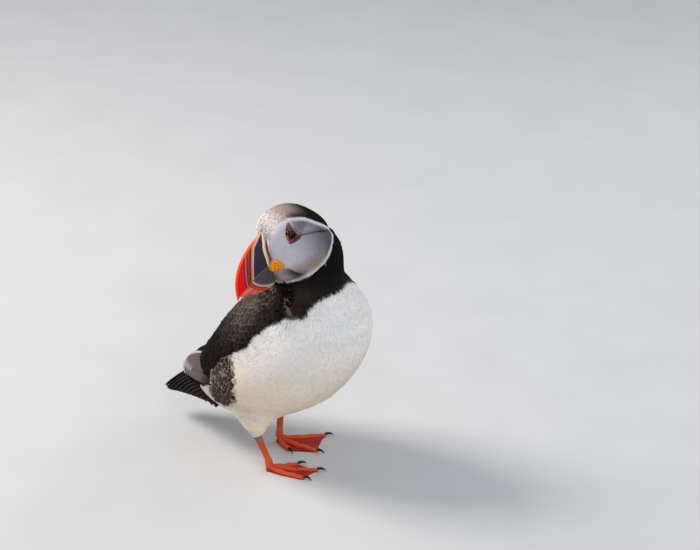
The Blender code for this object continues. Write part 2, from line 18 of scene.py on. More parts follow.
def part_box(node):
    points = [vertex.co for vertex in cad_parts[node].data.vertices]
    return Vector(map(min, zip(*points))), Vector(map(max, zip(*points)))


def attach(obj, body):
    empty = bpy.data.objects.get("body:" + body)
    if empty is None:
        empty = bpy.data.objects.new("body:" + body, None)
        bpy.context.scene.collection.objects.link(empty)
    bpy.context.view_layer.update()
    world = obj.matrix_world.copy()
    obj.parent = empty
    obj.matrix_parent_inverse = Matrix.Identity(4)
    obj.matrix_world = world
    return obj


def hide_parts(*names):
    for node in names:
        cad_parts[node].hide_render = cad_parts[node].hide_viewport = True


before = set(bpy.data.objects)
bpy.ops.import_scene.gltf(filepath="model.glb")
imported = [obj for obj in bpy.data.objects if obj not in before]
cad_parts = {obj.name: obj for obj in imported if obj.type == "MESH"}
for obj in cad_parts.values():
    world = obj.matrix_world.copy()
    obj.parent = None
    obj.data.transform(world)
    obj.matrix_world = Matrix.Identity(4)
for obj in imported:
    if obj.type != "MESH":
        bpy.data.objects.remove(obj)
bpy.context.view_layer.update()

MM = 0.001
SEED = 20

# ---------------------------------------------------------------- body shape
# Sections from the rump forward and up the neck: the back point (y, z), the
# belly point (y, z), the half width and how far the section lies to the left.
BODY_STATIONS = np.array((
    (94, 41, 92, 37, 2, 0),
    (89, 49, 82, 33, 8, 0),
    (79, 63, 68, 30, 16, 0),
    (65, 82, 46, 27, 27, 0),
    (50, 103, 18.6, 27.5, 37, 0),
    (37, 119, -8.8, 41.2, 42, 0),
    (26, 131, -34.5, 60.1, 43.5, 0),
    (18, 141, -53.8, 89.2, 42, 0),
    (13, 149, -56.6, 116.8, 36.6, 0),
    (9, 157, -39.4, 140.6, 25.8, 0),
    (5, 166, -37.5, 154, 21.5, 1),
    (1, 174, -36, 166, 18.5, 3),
    (-6, 183, -30, 179, 10, 4),
), float)
BODY_LAST = len(BODY_STATIONS) - 1
BODY_SAG = 0.10
RUMP_Y = 94.0                  # the trunk's rearmost point

# Head: origin at the culmen's base, turned to the bird's right and tipped.
HEAD_ORIGIN = np.array((-30, 2.3, 186.6))
HEAD_YAW, HEAD_PITCH, HEAD_ROLL = 112.9, -16.4, 16.1
# Distance forward of the culmen's base, top, bottom and half width there.
HEAD_STATIONS = np.array((
    (-43.6, -15, -21, 2.5),
    (-41.8, -9.4, -27, 9.3),
    (-37.6, -2.6, -33, 14.8),
    (-30.5, 5.2, -37, 18.6),
    (-22, 9.6, -38.8, 19.2),
    (-13.5, 10.8, -39, 17.8),
    (-6.5, 9.4, -38, 16.2),
    (-1.6, 6.4, -36.5, 13.8),
    (0, 1.6, -34, 11.0),
), float)
HEAD_LAST = len(HEAD_STATIONS) - 1
HEAD_SAG = 0.12
HEAD_SQUARE = 0.25             # how square its sections grow towards the bill
BASE_SLANT = 0.15              # the bill's base leans forward towards the chin
# Each leg's hip and knee, and on the floor its heel and the ends of its toes,
# from the inner to the outer.
LEGS = {
    "right": {"hip": (-24, 16, 46), "knee": (-24.5, 13, 24), "heel": (-24.7, 2.8),
              "toes": ((-7.8, -10.3), (-6.8, -26), (-20.9, -24.4))},
    "left": {"hip": (21, 27, 46), "knee": (16.5, 23, 22), "heel": (11.2, 19.6),
             "toes": ((4.0, 6.6), (14.1, -11.0), (35.5, -3.2))},
}
HEAD_ENDS = (1.06, 1.28)       # where head gives way to neck, in half widths of the head
HEAD_REAR = -39                # behind this the two blend farther out

# ------------------------------------------------------------------ markings
# The white of the underparts, as an outline over (station, degrees from the
# back's middle line); it is the same on both sides.
WHITE_OUTLINE = np.array((
    (-2, 100), (1.0, 98), (2.5, 94), (3.2, 87), (3.55, 80), (3.9, 71), (4.65, 66), (5.3, 66),
    (5.85, 68), (6.4, 65), (7.25, 70), (8.0, 82), (8.2, 93), (8.4, 108), (8.68, 119),
    (8.92, 133), (9.1, 148), (9.15, 165), (9.15, 182), (9.15, 230), (-2, 230),
), float)
STATION_SPAN = 15.0            # rough millimetres from station to station
DEGREE_SPAN = 0.62             # rough millimetres for a degree round the body
# The pale face patch in the head's profile, (forward, up), clockwise.
FACE_OUTLINE = np.array((
    (3.0, -7.5), (-0.2, -3.4), (-1.5, -1.2), (-4.1, 0.9), (-7.8, 2.4), (-11.7, 2.9), (-15.4, 3.1),
    (-19.6, 1.7), (-23.4, 0.0), (-26.7, -2.3), (-30.3, -6.0), (-34.5, -10.1), (-38.7, -14.8),
    (-42.2, -18.6), (-42.8, -22.4), (-40.6, -26.0), (-37.3, -29.0), (-34.2, -31.4), (-30.2, -33.8),
    (-25.5, -36.0), (-20.5, -37.4), (-15.0, -38.5), (-9.0, -39.2), (-3.4, -39.0), (0.5, -38.1),
    (5.0, -36.5), (9.0, -34.0), (10.0, -25.0), (8.0, -14.0),
), float)
# The feathers' front edge at the bill's base, (forward, up), from below.
BASE_EDGE = np.array((
    (4.4, -36.0), (4.6, -33.3), (6.4, -25.5), (5.2, -21.0), (4.8, -18.4), (4.2, -15.6), (2.8, -9.8),
    (0.9, -6.3), (0.3, -4.0), (0.8, 0.0), (0.6, 8.0),
))
EYE_AT = np.array((-12.9, -6.5))
EYE_RADIUS = 3.5
EYE_SHOWS = 1.5
BALL_AHEAD = 0.3               # how far the ball sits ahead of its ring's middle
# The fold that runs back from the eye, (forward, up).
CREASE = np.array((
    (-16.4, -9.2), (-20.5, -10.4), (-26.4, -12.1), (-30.0, -13.6), (-33.5, -15.4), (-38.5, -17.5),
), float)
# The lower edge of the cheek, behind the corner of the gape.
CHEEK_FOLD = np.array((
    (1.5, -24.0), (-2.3, -27.2), (-5.2, -30.7), (-8.9, -34.3), (-13.0, -36.9),
), float)

FLESH = ("trunk", "neck", "head", "wing_left", "wing_right", "thigh_left", "thigh_right")


# ------------------------------------------------------------- small helpers
def unit(vectors):
    """Vectors at length one, along the last axis."""
    vectors = np.asarray(vectors, float)
    length = np.linalg.norm(vectors, axis=-1, keepdims=True)
    return vectors / np.maximum(length, 1e-12)


def laid_flat(vectors, normals):
    """Vectors less what of them stands along the normals."""
    return vectors - (vectors * normals).sum(1)[:, None] * normals


def smooth(low, high, values):
    """0 below low, 1 above high, with a smooth rise between them."""
    t = np.clip((np.asarray(values, float) - low) / (high - low), 0, 1)
    return t * t * (3 - 2 * t)


def mix(a, b, share):
    """Rows of a blended to b by a share for each row."""
    share = np.asarray(share)[..., None]
    return np.asarray(a) * (1 - share) + np.asarray(b) * share


def at_station(stations, places):
    """Rows of a table read at fractional places, on a smooth curve."""
    places = np.asarray(places, float)
    last = len(stations) - 1
    start = np.clip(places.astype(int), 0, last - 1)
    rows = [stations[np.clip(start + k, 0, last)] for k in (-1, 0, 1, 2)]
    t = (places - start)[..., None]
    slope_in = (rows[2] - rows[0]) / 2
    slope_out = (rows[3] - rows[1]) / 2
    return ((2 * t**3 - 3 * t**2 + 1) * rows[1] + (t**3 - 2 * t**2 + t) * slope_in
            + (3 * t**2 - 2 * t**3) * rows[2] + (t**3 - t**2) * slope_out)


def curve_through(knots, places):
    """A single value read at fractional places of a list of knots."""
    return at_station(np.asarray(knots, float)[:, None], places)[..., 0]


def bezier(points, t):
    """Points on a cubic curve."""
    p = np.asarray(points, float)
    t = np.asarray(t, float)[..., None]
    s = 1 - t
    return s**3 * p[0] + 3 * s * s * t * p[1] + 3 * s * t * t * p[2] + t**3 * p[3]


def waves(points, size, seed, count=7):
    """Smooth noise between about -1 and 1, made of waves of about one size."""
    draw = np.random.default_rng(seed)
    ways = unit(draw.normal(size=(count, points.shape[-1])))
    ways *= (2 * math.pi / size) * draw.uniform(0.6, 1.5, (count, 1))
    phases = draw.uniform(0, 2 * math.pi, count)
    return np.sin(points @ ways.T + phases).sum(-1) / math.sqrt(count) / 1.4


def edge_distance(points, outline):
    """Distance into a closed flat outline: positive inside, negative outside."""
    ends = np.roll(outline, -1, axis=0)
    best = np.full(len(points), np.inf)
    inside = np.zeros(len(points), bool)
    for a, b in zip(outline, ends):
        run = b - a
        t = np.clip(((points - a) @ run) / (run @ run), 0, 1)
        best = np.minimum(best, np.linalg.norm(points - a - t[:, None] * run, axis=1))
        crosses = (a[1] > points[:, 1]) != (b[1] > points[:, 1])
        reach = a[0] + (points[:, 1] - a[1]) / (run[1] if run[1] else 1e-9) * run[0]
        inside ^= crosses & (points[:, 0] < reach)
    return np.where(inside, best, -best)


def line_distance(points, line):
    """Distance to an open line, signed by the side it lies on, and how far along."""
    best = np.full(len(points), np.inf)
    signed = np.zeros(len(points))
    along = np.zeros(len(points))
    for i, (a, b) in enumerate(zip(line[:-1], line[1:])):
        run = b - a
        t = np.clip(((points - a) @ run) / (run @ run), 0, 1)
        away = points - a - t[:, None] * run
        gap = np.linalg.norm(away, axis=1)
        side = np.sign(run[0] * away[:, 1] - run[1] * away[:, 0])
        nearer = gap < best
        best = np.where(nearer, gap, best)
        signed = np.where(nearer, gap * side, signed)
        along = np.where(nearer, (i + t) / (len(line) - 1), along)
    return signed, along


def rounded(outline, steps=5):
    """A closed outline with a smooth curve through its points."""
    count = len(outline)
    looped = np.concatenate((outline[-1:], outline, outline[:2]))
    places = 1 + np.arange(count * steps) / steps
    return at_station(looped, places)


FACE_EDGE = rounded(FACE_OUTLINE)


# ------------------------------------------------------------------- frames
def head_axes():
    """Forward, left and up of the turned head, in the bird's frame."""
    yaw, pitch, roll = (math.radians(a) for a in (HEAD_YAW, HEAD_PITCH, HEAD_ROLL))
    forward = np.array((-math.sin(yaw) * math.cos(pitch),
                        -math.cos(yaw) * math.cos(pitch), math.sin(pitch)))
    level_left = unit(np.cross((0, 0, 1), forward))
    level_up = np.cross(forward, level_left)
    left = math.cos(roll) * level_left + math.sin(roll) * level_up
    return np.array((forward, left, np.cross(forward, left)))


HEAD_AXES = head_axes()


def to_head(points):
    """Points in the head's frame: forward, left, up."""
    return (points - HEAD_ORIGIN) @ HEAD_AXES.T


def from_head(points):
    """Points given in the head's frame, in the bird's frame."""
    return HEAD_ORIGIN + np.asarray(points, float) @ HEAD_AXES


def frame_shift():
    """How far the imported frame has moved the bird, from the trunk's box."""
    low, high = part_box("trunk")
    return np.array(((low.x + high.x) / 2 / MM, high.y / MM - RUMP_Y, 0.0))


SHIFT = frame_shift()


def to_world(points):
    """The bird's millimetres as the frame's metres."""
    return (np.asarray(points, float) + SHIFT) * MM


def body_point(places, angles, lift=0.0, side=1.0):
    """Points on the trunk or neck, at angles from the back's middle line."""
    rows = at_station(BODY_STATIONS, places)
    back, belly = rows[..., 0:2], rows[..., 2:4]
    middle, axis = (back + belly) / 2, (back - belly) / 2
    depth = np.linalg.norm(axis, axis=-1)
    across = np.cos(angles) - BODY_SAG * np.sin(angles) ** 2
    yz = middle + axis * across[..., None] + axis * (lift * np.cos(angles) / depth)[..., None]
    x = side * (rows[..., 4] + lift) * np.sin(angles) + rows[..., 5]
    return np.stack((x, yz[..., 0], yz[..., 1]), -1)


def head_place(forward, up):
    """The place in the head's table of sections of points on its profile."""
    count = np.arange(HEAD_LAST + 1)
    place = np.interp(forward, HEAD_STATIONS[:, 0], count)
    for _ in range(3):
        slant = BASE_SLANT * (place / HEAD_LAST) ** 3
        place = np.interp(forward + slant * up, HEAD_STATIONS[:, 0], count)
    return place


def head_share(points):
    """1 on the head, falling to 0 on the neck."""
    f, left, up = to_head(points).T
    places = head_place(f, up)
    rows = at_station(HEAD_STATIONS, places)
    middle, half = (rows[:, 1] + rows[:, 2]) / 2, (rows[:, 1] - rows[:, 2]) / 2
    beyond = np.maximum(0, HEAD_STATIONS[0, 0] - f) / 10
    power = 2 / (1 - HEAD_SQUARE * np.clip((places - 4) / 3, 0, 1))
    ratio = (np.abs(left / rows[:, 3]) ** power + np.abs((up - middle) / half) ** power)
    ratio = ratio ** (1 / power) + beyond
    farther = np.where(f < HEAD_REAR, 0.5 * (HEAD_REAR - f), 0)
    return 1 - smooth(HEAD_ENDS[0] + farther, HEAD_ENDS[1] + farther, ratio)


# --------------------------------------------------------------------- skin
VOXEL = 1.05
CLOSE_GAPS = 0.4               # growth that closes the gaps between the nodes
SMOOTHING = 9                  # rounds of smoothing after the remesh
FINE_HEAD, FINE_EYE = 0.4, 8.5    # share of head, and distance from the eye, with finer faces
# Rounds in which values are evened out over the skin's mesh.
PLACE_ROUNDS, LIE_ROUNDS, BEND_ROUNDS = 3, (12, 6), 50
EVEN_ROUNDS, FILL_ROUNDS, BASE_ROUNDS = 60, 60, 20
BEND_LIMITS = (-0.03, 0.10)    # the skin's bend that tufts follow, per millimetre
BODY_COAT = 1.6                # how deep the coat is on the body
NECK_LESS = 0.4                # and how much less on the neck
LEG_LESS = 1.0                 # and low on the belly and thighs
HEAD_COAT = 0.7
THINNEST_COAT = 0.15           # at the bill's base


def mesh_points(mesh):
    """A mesh's vertices in the bird's frame."""
    flat = np.empty(len(mesh.vertices) * 3, np.float32)
    mesh.vertices.foreach_get("co", flat)
    return flat.reshape(-1, 3).astype(float) / MM - SHIFT


def mesh_normals(mesh):
    """A mesh's vertex normals."""
    flat = np.empty(len(mesh.vertices) * 3, np.float32)
    mesh.vertex_normals.foreach_get("vector", flat)
    return flat.reshape(-1, 3).astype(float)


def set_points(mesh, points):
    """Move a mesh's vertices to points of the bird's frame."""
    mesh.vertices.foreach_set("co", to_world(points).astype(np.float32).ravel())
    mesh.update()


def evaluated(mesh, name, modifiers):
    """A new mesh: the given one after modifiers, each a type and its values."""
    holder = bpy.data.objects.new(name, mesh)
    bpy.context.scene.collection.objects.link(holder)
    for kind, values in modifiers:
        modifier = holder.modifiers.new(kind, kind)
        for key, value in values.items():
            setattr(modifier, key, value)
    depsgraph = bpy.context.evaluated_depsgraph_get()
    made = bpy.data.meshes.new_from_object(holder.evaluated_get(depsgraph))
    bpy.data.objects.remove(holder)
    bpy.data.meshes.remove(mesh)
    made.name = name
    return made


def joined_nodes(names, growth):
    """The named nodes in one mesh, welded and each a little grown."""
    whole = bmesh.new()
    for name in names:
        part = bmesh.new()
        part.from_mesh(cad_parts[name].data)
        bmesh.ops.remove_doubles(part, verts=part.verts, dist=0.00002)
        bmesh.ops.recalc_face_normals(part, faces=part.faces)
        part.normal_update()
        moves = [v.normal * growth * MM for v in part.verts]
        for vertex, move in zip(part.verts, moves):
            vertex.co += move
        mesh = bpy.data.meshes.new(name + "_grown")
        part.to_mesh(mesh)
        part.free()
        whole.from_mesh(mesh)
        bpy.data.meshes.remove(mesh)
    mesh = bpy.data.meshes.new("joined")
    whole.to_mesh(mesh)
    whole.free()
    return mesh


def refine(mesh, chosen):
    """Split the faces whose middles the test chooses, and even them out."""
    work = bmesh.new()
    work.from_mesh(mesh)
    work.faces.ensure_lookup_table()
    middles = np.array([f.calc_center_median()[:] for f in work.faces]) / MM - SHIFT
    picked = [work.faces[i] for i in np.flatnonzero(chosen(middles))]
    edges = list({e for f in picked for e in f.edges})
    bmesh.ops.subdivide_edges(work, edges=edges, cuts=1, use_grid_fill=True)
    near = list({v for f in picked if f.is_valid for v in f.verts})
    bmesh.ops.smooth_vert(work, verts=near, factor=0.5,
                          use_axis_x=True, use_axis_y=True, use_axis_z=True)
    bmesh.ops.triangulate(work, faces=[f for f in work.faces if len(f.verts) > 4])
    work.to_mesh(mesh)
    work.free()
    return mesh


def skin_mesh():
    """The flesh nodes as one smooth surface, finer on the head."""
    mesh = evaluated(joined_nodes(FLESH, CLOSE_GAPS), "skin", (
        ("REMESH", {"mode": "VOXEL", "voxel_size": VOXEL * MM}),
        ("SMOOTH", {"factor": 0.5, "iterations": SMOOTHING}),
    ))
    mesh = refine(mesh, lambda p: head_share(p) > FINE_HEAD)
    return refine(mesh, lambda p: eye_gap(p) < FINE_EYE)


def eye_gap(points):
    """Distance from the nearer eye's middle, along the head's side."""
    f, left, up = to_head(points).T
    return np.where(np.abs(left) > 6, np.hypot(f - EYE_AT[0], up - EYE_AT[1]), 99.0)


def neighbours(mesh):
    """The two ends of each edge of a mesh."""
    ends = np.empty(len(mesh.edges) * 2, np.int32)
    mesh.edges.foreach_get("vertices", ends)
    return ends.reshape(-1, 2)


def spread(values, edges, rounds):
    """Values at vertices evened out over the mesh."""
    count = np.bincount(edges.ravel(), minlength=len(values))[:, None] + 1.0
    for _ in range(rounds):
        total = values.copy()
        for k in range(values.shape[1]):
            total[:, k] += np.bincount(edges[:, 0], values[edges[:, 1], k], len(values))
            total[:, k] += np.bincount(edges[:, 1], values[edges[:, 0], k], len(values))
        values = total / count
    return values


class Surface:
    """The skin with, at each vertex, its place on the body and the coat's lie."""

    def __init__(self, mesh):
        self.mesh = mesh
        self.points = mesh_points(mesh)
        self.normals = mesh_normals(mesh)
        self.edges = neighbours(mesh)
        self.head = head_share(self.points)
        self.find_places()
        self.find_lie()

    def find_places(self):
        """Station and angle of the nearest point of the plain body."""
        places = np.linspace(0, BODY_LAST, BODY_LAST * 10 + 1)
        angles = np.linspace(0, 2 * math.pi, 120, endpoint=False)
        grid_place, grid_angle = (g.ravel() for g in np.meshgrid(places, angles))
        grid = body_point(grid_place, grid_angle)
        tree = KDTree(len(grid))
        for i, point in enumerate(grid):
            tree.insert(point, i)
        tree.balance()
        found = np.array([tree.find(p)[1] for p in self.points])
        rough = np.stack((grid_place[found], np.cos(grid_angle[found]),
                          np.sin(grid_angle[found])), -1)
        self.body = spread(rough, self.edges, PLACE_ROUNDS)
        ahead = np.minimum(grid_place + 0.1, BODY_LAST)
        behind = np.maximum(grid_place - 0.1, 0)
        down = unit(body_point(behind, grid_angle) - body_point(ahead, grid_angle))
        self.down_body = down[found]

    def find_lie(self):
        """The way the coat lies at each vertex, and the skin's bend that way."""
        down_head = -HEAD_AXES[0] - 0.35 * HEAD_AXES[2]
        lie = mix(self.down_body, unit(down_head), self.head)
        for leg in LEGS.values():
            axis = unit(np.subtract(leg["knee"], leg["hip"]))
            away = self.points - np.array(leg["hip"], float)
            gap = np.linalg.norm(away - (away @ axis)[:, None] * axis, axis=1)
            share = (1 - smooth(11, 17, gap)) * (1 - smooth(36, 46, self.points[:, 2]))
            lie = mix(lie, axis, share)
        for rounds in LIE_ROUNDS:
            lie = unit(laid_flat(spread(lie, self.edges, rounds), self.normals))
        self.lie = lie
        a, b = self.edges.T
        run = self.points[b] - self.points[a]
        bend = ((self.normals[b] - self.normals[a]) * run).sum(1) / (run * run).sum(1)
        total = np.zeros(len(self.points))
        weight = np.full(len(self.points), 1e-6)
        for end in (a, b):
            share = (unit(run) * self.lie[end]).sum(1) ** 4
            total += np.bincount(end, share * bend, len(total))
            weight += np.bincount(end, share, len(total))
        bend = spread((total / weight)[:, None], self.edges, BEND_ROUNDS)
        self.bend = np.clip(bend, *BEND_LIMITS)

    def even_out(self):
        """Smooth the body and neck, with their size kept, and fill the fold
        between belly and thighs."""
        low = spread(self.points, self.edges, EVEN_ROUNDS)
        even = 2 * low - spread(low, self.edges, EVEN_ROUNDS)
        share = smooth(0.3, 0.0, self.head) * smooth(26, 38, self.points[:, 2])
        self.points = mix(self.points, even, share)
        fill = np.exp(-((self.points[:, 2] - 43) / 9) ** 2) * (self.points[:, 1] < 40)
        self.points = mix(self.points, spread(self.points, self.edges, FILL_ROUNDS), fill)
        set_points(self.mesh, self.points)
        self.normals = mesh_normals(self.mesh)

    def shift_points(self, distance):
        """Move the surface along its normals by a distance for each vertex."""
        self.points = self.points + self.normals * distance[:, None]
        set_points(self.mesh, self.points)
        self.normals = mesh_normals(self.mesh)


def turn_of(body):
    """Degrees from the back's middle line, from the stored cosine and sine."""
    return np.degrees(np.arctan2(np.abs(body[:, 2]), body[:, 1]))


def base_gap(points):
    """How far behind the feathers' front edge, at the bill's base, a point lies."""
    f, _, up = to_head(points).T
    return np.interp(up, *BASE_EDGE.T[::-1]) - f


def lean_forward(points):
    """The skin's front rim, drawn forward over the bill's base."""
    f, left, up = to_head(points).T
    gap = -(f + BASE_SLANT * up)
    reach = np.interp(up, *BASE_EDGE.T[::-1]) + BASE_SLANT * up + 0.3
    push = reach * (1 - smooth(0, 8, gap)) * (np.abs(f) < 12)
    narrow = (0.04 + 0.16 * smooth(0, -9, up)) * (1 - smooth(0, 6.5, gap))
    narrow = 1 - narrow * (np.abs(f) < 12)
    return from_head(np.stack((f + push, left * narrow, up), -1))


def crease_depth(points):
    """The fold behind the eye: a groove with a soft ridge above it."""
    f, left, up = to_head(points).T
    gap, along = line_distance(np.stack((f, up), -1), CREASE)
    fade = smooth(0, 0.08, along) * (1 - smooth(0.85, 1.0, along)) * (np.abs(left) > 3)
    groove = -1.0 * np.exp(-(gap / 0.75) ** 2)
    ridge = 0.75 * np.exp(-((gap + 2.2) / 1.5) ** 2)
    gap, along = line_distance(np.stack((f, up), -1), CHEEK_FOLD)
    fold = smooth(0.3, 0.6, along) * (1 - smooth(0.8, 1.0, along)) * (np.abs(left) > 4)
    cheek = 0.5 * np.exp(-((gap + 1.4) / 1.6) ** 2) - 0.5 * np.exp(-((gap - 1.4) / 1.6) ** 2)
    return fade * (groove + ridge) + fold * cheek


def coat_depth(points, head, body):
    """How far inside the outline the skin lies."""
    body_depth = (BODY_COAT - NECK_LESS * smooth(7.5, 9.5, body[:, 0])
                  - LEG_LESS * smooth(54, 30, points[:, 2]))
    depth = body_depth * (1 - head) + HEAD_COAT * head
    at_base = smooth(0.0, 5.0, base_gap(points))
    at_eye = 0.45 + 0.55 * smooth(4.0, 8.0, eye_gap(points))
    thinned = THINNEST_COAT + (depth - THINNEST_COAT) * at_base * at_eye
    return np.where(head > 0.5, thinned, depth)


# ------------------------------------------------------------------- colours
COLOUR_LAYER = "coat"          # the attribute that holds a mesh's own colours
# Linear colours of the plumage.
WHITE = np.array((0.86, 0.85, 0.83))
# Painted warm light thrown up from below onto the white underparts.
BELLY_BOUNCE_LIGHT = np.array((0.86, 0.73, 0.56))
FACE_LIGHT = np.array((0.58, 0.565, 0.61))
# The face's grey towards its rear: partly its own grey, partly painted shade on the side turned from
# the light.
FACE_GREY_AND_SHADE = np.array((0.085, 0.082, 0.100))
# Painted warm light thrown up from below onto the lower face.
FACE_BOUNCE_LIGHT = np.array((0.34, 0.265, 0.22))
# A pale rim round the patch: partly its own pale edge, partly painted rim light.
FACE_RIM_AND_RIM_LIGHT = np.array((0.80, 0.78, 0.78))
# A painted shadow under the cheek's lower fold.
CHEEK_FOLD_SHADOW = np.array((0.026, 0.020, 0.019))
# The forehead's grey-brown, lightened by painted sunlight.
FOREHEAD_AND_SUNLIGHT = np.array((0.74, 0.66, 0.62))
CROWN = np.array((0.35, 0.275, 0.24))
NAPE = np.array((0.0050, 0.0042, 0.0048))
MANTLE = np.array((0.015, 0.011, 0.0095))
COLLAR_BROWN = np.array((0.036, 0.025, 0.021))
MOTTLE_DARK = np.array((0.042, 0.028, 0.022))
MOTTLE_PALE = np.array((0.32, 0.250, 0.212))
MOTTLE_GROUND = np.array((0.12, 0.088, 0.073))
# Painted shadow among the ruffled white feathers.
RUFFLE_SHADOW = np.array((0.40, 0.355, 0.33))
FLECK_PALE = np.array((0.34, 0.29, 0.27))
SKIN_SHADE = 0.9               # the skin's brightness, as a share of its coat's: painted shade under the coat


def face_depth(points):
    """How far inside the pale face patch a point lies."""
    f, left, up = to_head(points).T
    depth = edge_distance(np.stack((f, up), -1), FACE_EDGE)
    throat = 0.3 + 0.32 * np.clip(3.0 - f, 0, 30)
    low = up < -30
    return np.where(low, np.minimum(depth, np.abs(left) - throat), depth)


def face_colour(points):
    """The face patch: light in front and greyer behind, partly its own grey and partly painted shade,
    with a pale rim partly painted as rim light, painted warm light low in front and a painted shadow
    under the cheek's fold.
    """
    f, _, up = to_head(points).T
    # Greyer towards the rear: partly the face's own grey, partly painted shade.
    colour = mix(FACE_LIGHT, FACE_GREY_AND_SHADE, smooth(-4, -37, f))
    # Warmer low in front: painted warm light from below.
    colour = mix(colour, FACE_BOUNCE_LIGHT, 0.9 * smooth(-22, -31, up) * smooth(-33, -22, f))
    # Greyer above the crease towards the rear: painted shade.
    above = smooth(-9.5, -5.5, up + 0.45 * (f + 20)) * smooth(-13.5, -19, f)
    colour = mix(colour, FACE_GREY_AND_SHADE * (1.05, 1.08, 1.16), 0.7 * above)
    depth = face_depth(points)
    # Pale rim along the patch's edge: partly its own, partly painted rim light.
    colour = mix(colour, FACE_RIM_AND_RIM_LIGHT, 0.8 * (1 - smooth(0.6, 3.4, depth)))
    # A painted shadow under the cheek's lower fold, darkest partway along it.
    gap, along = line_distance(np.stack((f, up), -1), CHEEK_FOLD)
    below = smooth(-0.5, 0.6, gap) * smooth(6.4, 1.4, gap)
    dark = below * np.interp(along, (0, 0.12, 0.45, 0.8, 1), (0.35, 0.6, 1.0, 0.9, 0))
    colour = mix(colour, CHEEK_FOLD_SHADOW, np.clip(dark, 0, 0.92))
    gap, along = line_distance(np.stack((f, up), -1), CREASE)
    line = np.exp(-(gap / 0.65) ** 2) * smooth(0, 0.05, along) * (1 - smooth(0.9, 1.0, along))
    return mix(colour, NAPE * 2, 0.85 * line)


def cap_colour(points):
    """Crown, nape and collar: grey-brown in front, lightened on the forehead by painted sunlight,
    black behind.
    """
    f, _, up = to_head(points).T
    colour = mix(FOREHEAD_AND_SUNLIGHT, CROWN, smooth(-3, -17, f - 0.25 * (up - 8)))
    colour = mix(colour, NAPE, smooth(-15, -31, f))
    colour = colour * (1 + 0.13 * waves(points, 1.4, 8))[..., None]
    by_patch = smooth(-4.5, -0.8, face_depth(points)) * smooth(-13, -20, f)
    colour = mix(colour, NAPE, 0.85 * by_patch)
    return mix(colour, NAPE, smooth(-10, -18, up))


def body_edge(body):
    """How far inside the white underparts a place lies, in millimetres."""
    flat = np.stack((body[:, 0] * STATION_SPAN, turn_of(body) * DEGREE_SPAN), -1)
    return edge_distance(flat, WHITE_OUTLINE * (STATION_SPAN, DEGREE_SPAN))


def mottle_share(body):
    """Where the flank's brown and grey ruffled feathers lie."""
    turn = turn_of(body)
    along = (body[:, 0] - np.interp(turn, (65, 89, 108), (4.6, 4.1, 3.8))) / 0.72
    around = (turn - 87) / 25
    return np.exp(-np.maximum(along**2 + around**4 - 0.5, 0) * 1.6)


def body_colour(points, body, ragged):
    """Trunk and neck: dark above and on the collar, white below, warmer low down with painted warm
    light from below, and greyer among the ruffled feathers with painted shadows.
    """
    turn = turn_of(body)
    dark = mix(MANTLE, NAPE, smooth(9.2, 10.6, body[:, 0]) * smooth(60, 110, turn))
    brown = np.exp(-((body[:, 0] - 8.8) / 0.9) ** 2) * smooth(150, 110, turn)
    brown *= 0.5 + 0.5 * waves(points, 14, 3)
    dark = mix(dark, COLLAR_BROWN, np.clip(brown, 0, 1))
    # Warmer lower down: painted warm light from below.
    bounce_share = smooth(130, 66, points[:, 2]) * 0.85 + 0.12 * waves(points, 30, 4)
    light = mix(WHITE, BELLY_BOUNCE_LIGHT, np.clip(bounce_share, 0, 1))
    share = mottle_share(body)
    streaks = share + 0.35 * waves(points * (1, 1, 2), 1.2, 83) * smooth(0.03, 0.4, share)
    light = mix(light, MOTTLE_GROUND, 0.8 * smooth(0.2, 0.9, streaks))
    # Painted grey shadows among the ruffled white feathers near the wing's edge.
    ruffle = smooth(11, 3, body_edge(body)) * smooth(4.6, 5.4, body[:, 0])
    ruffle *= smooth(8.2, 7.2, body[:, 0]) * smooth(0.0, 0.9, waves(points, 1.7, 84))
    light = mix(light, RUFFLE_SHADOW, 0.55 * ruffle)
    depth = body_edge(body) + ragged
    return mix(dark, light, smooth(-0.9, 0.9, depth))


def plumage_colour(points, head, body, ragged=0.0):
    """Colour of skin and coat at places on the surface."""
    depth = face_depth(points) + 0.45 * ragged
    on_head = mix(cap_colour(points), face_colour(points), smooth(-0.5, 0.4, depth))
    on_body = body_colour(points, body, ragged)
    patch = smooth(-0.5, 0.4, depth) * (head > 0.02)
    return mix(on_body, on_head, np.maximum(smooth(0.15, 0.75, head), patch))


def store_colour(mesh, colours):
    """Keep a colour for each vertex in the mesh."""
    layer = mesh.attributes.new(COLOUR_LAYER, "FLOAT_COLOR", "POINT")
    rgba = np.ones((len(colours), 4), np.float32)
    rgba[:, :3] = np.clip(colours, 0, 1)
    layer.data.foreach_set("color", rgba.ravel())
    mesh.color_attributes.active_color = layer


# ----------------------------------------------------------------- materials
# Each finish's roughness, mirror strength, size and strength of its shading
# noise, and size and strength of its bumps. Sizes are in millimetres.
FINISHES = {
    "plumage": (0.85, 0.10, 2.5, 0.12, 0, 0),
    "vanes": (0.72, 0.03, 1.6, 0.18, 0.5, 0.3),
    "skin": (0.9, 0.15, 1.4, 0.2, 0.7, 0.5),
    "bill": (0.42, 0.07, 1.2, 0.10, 0.9, 0.14),
    "cere": (0.5, 0.5, 0.8, 0.1, 0.5, 0.25),
    "eye": (0.05, 0.22, 0.6, 0.15, 0, 0),
    "eye_ring": (0.42, 0.5, 0.5, 0.18, 0.35, 0.3),
    "plate": (0.45, 0.5, 0.8, 0.15, 0.6, 0.2),
    "rosette": (0.5, 0.2, 0.7, 0.12, 0.4, 0.35),
    "foot": (0.48, 0.22, 1.2, 0.12, 0.8, 0.25),
    "tarsus": (0.5, 0.22, 1.2, 0.12, 0.8, 0.25),
    "claw": (0.5, 0.12, 0.9, 0.15, 0.6, 0.12),
}
NOISE_DETAIL = 3.0
BUMP_HEIGHT = 0.4              # how high bumps are, as a share of their size


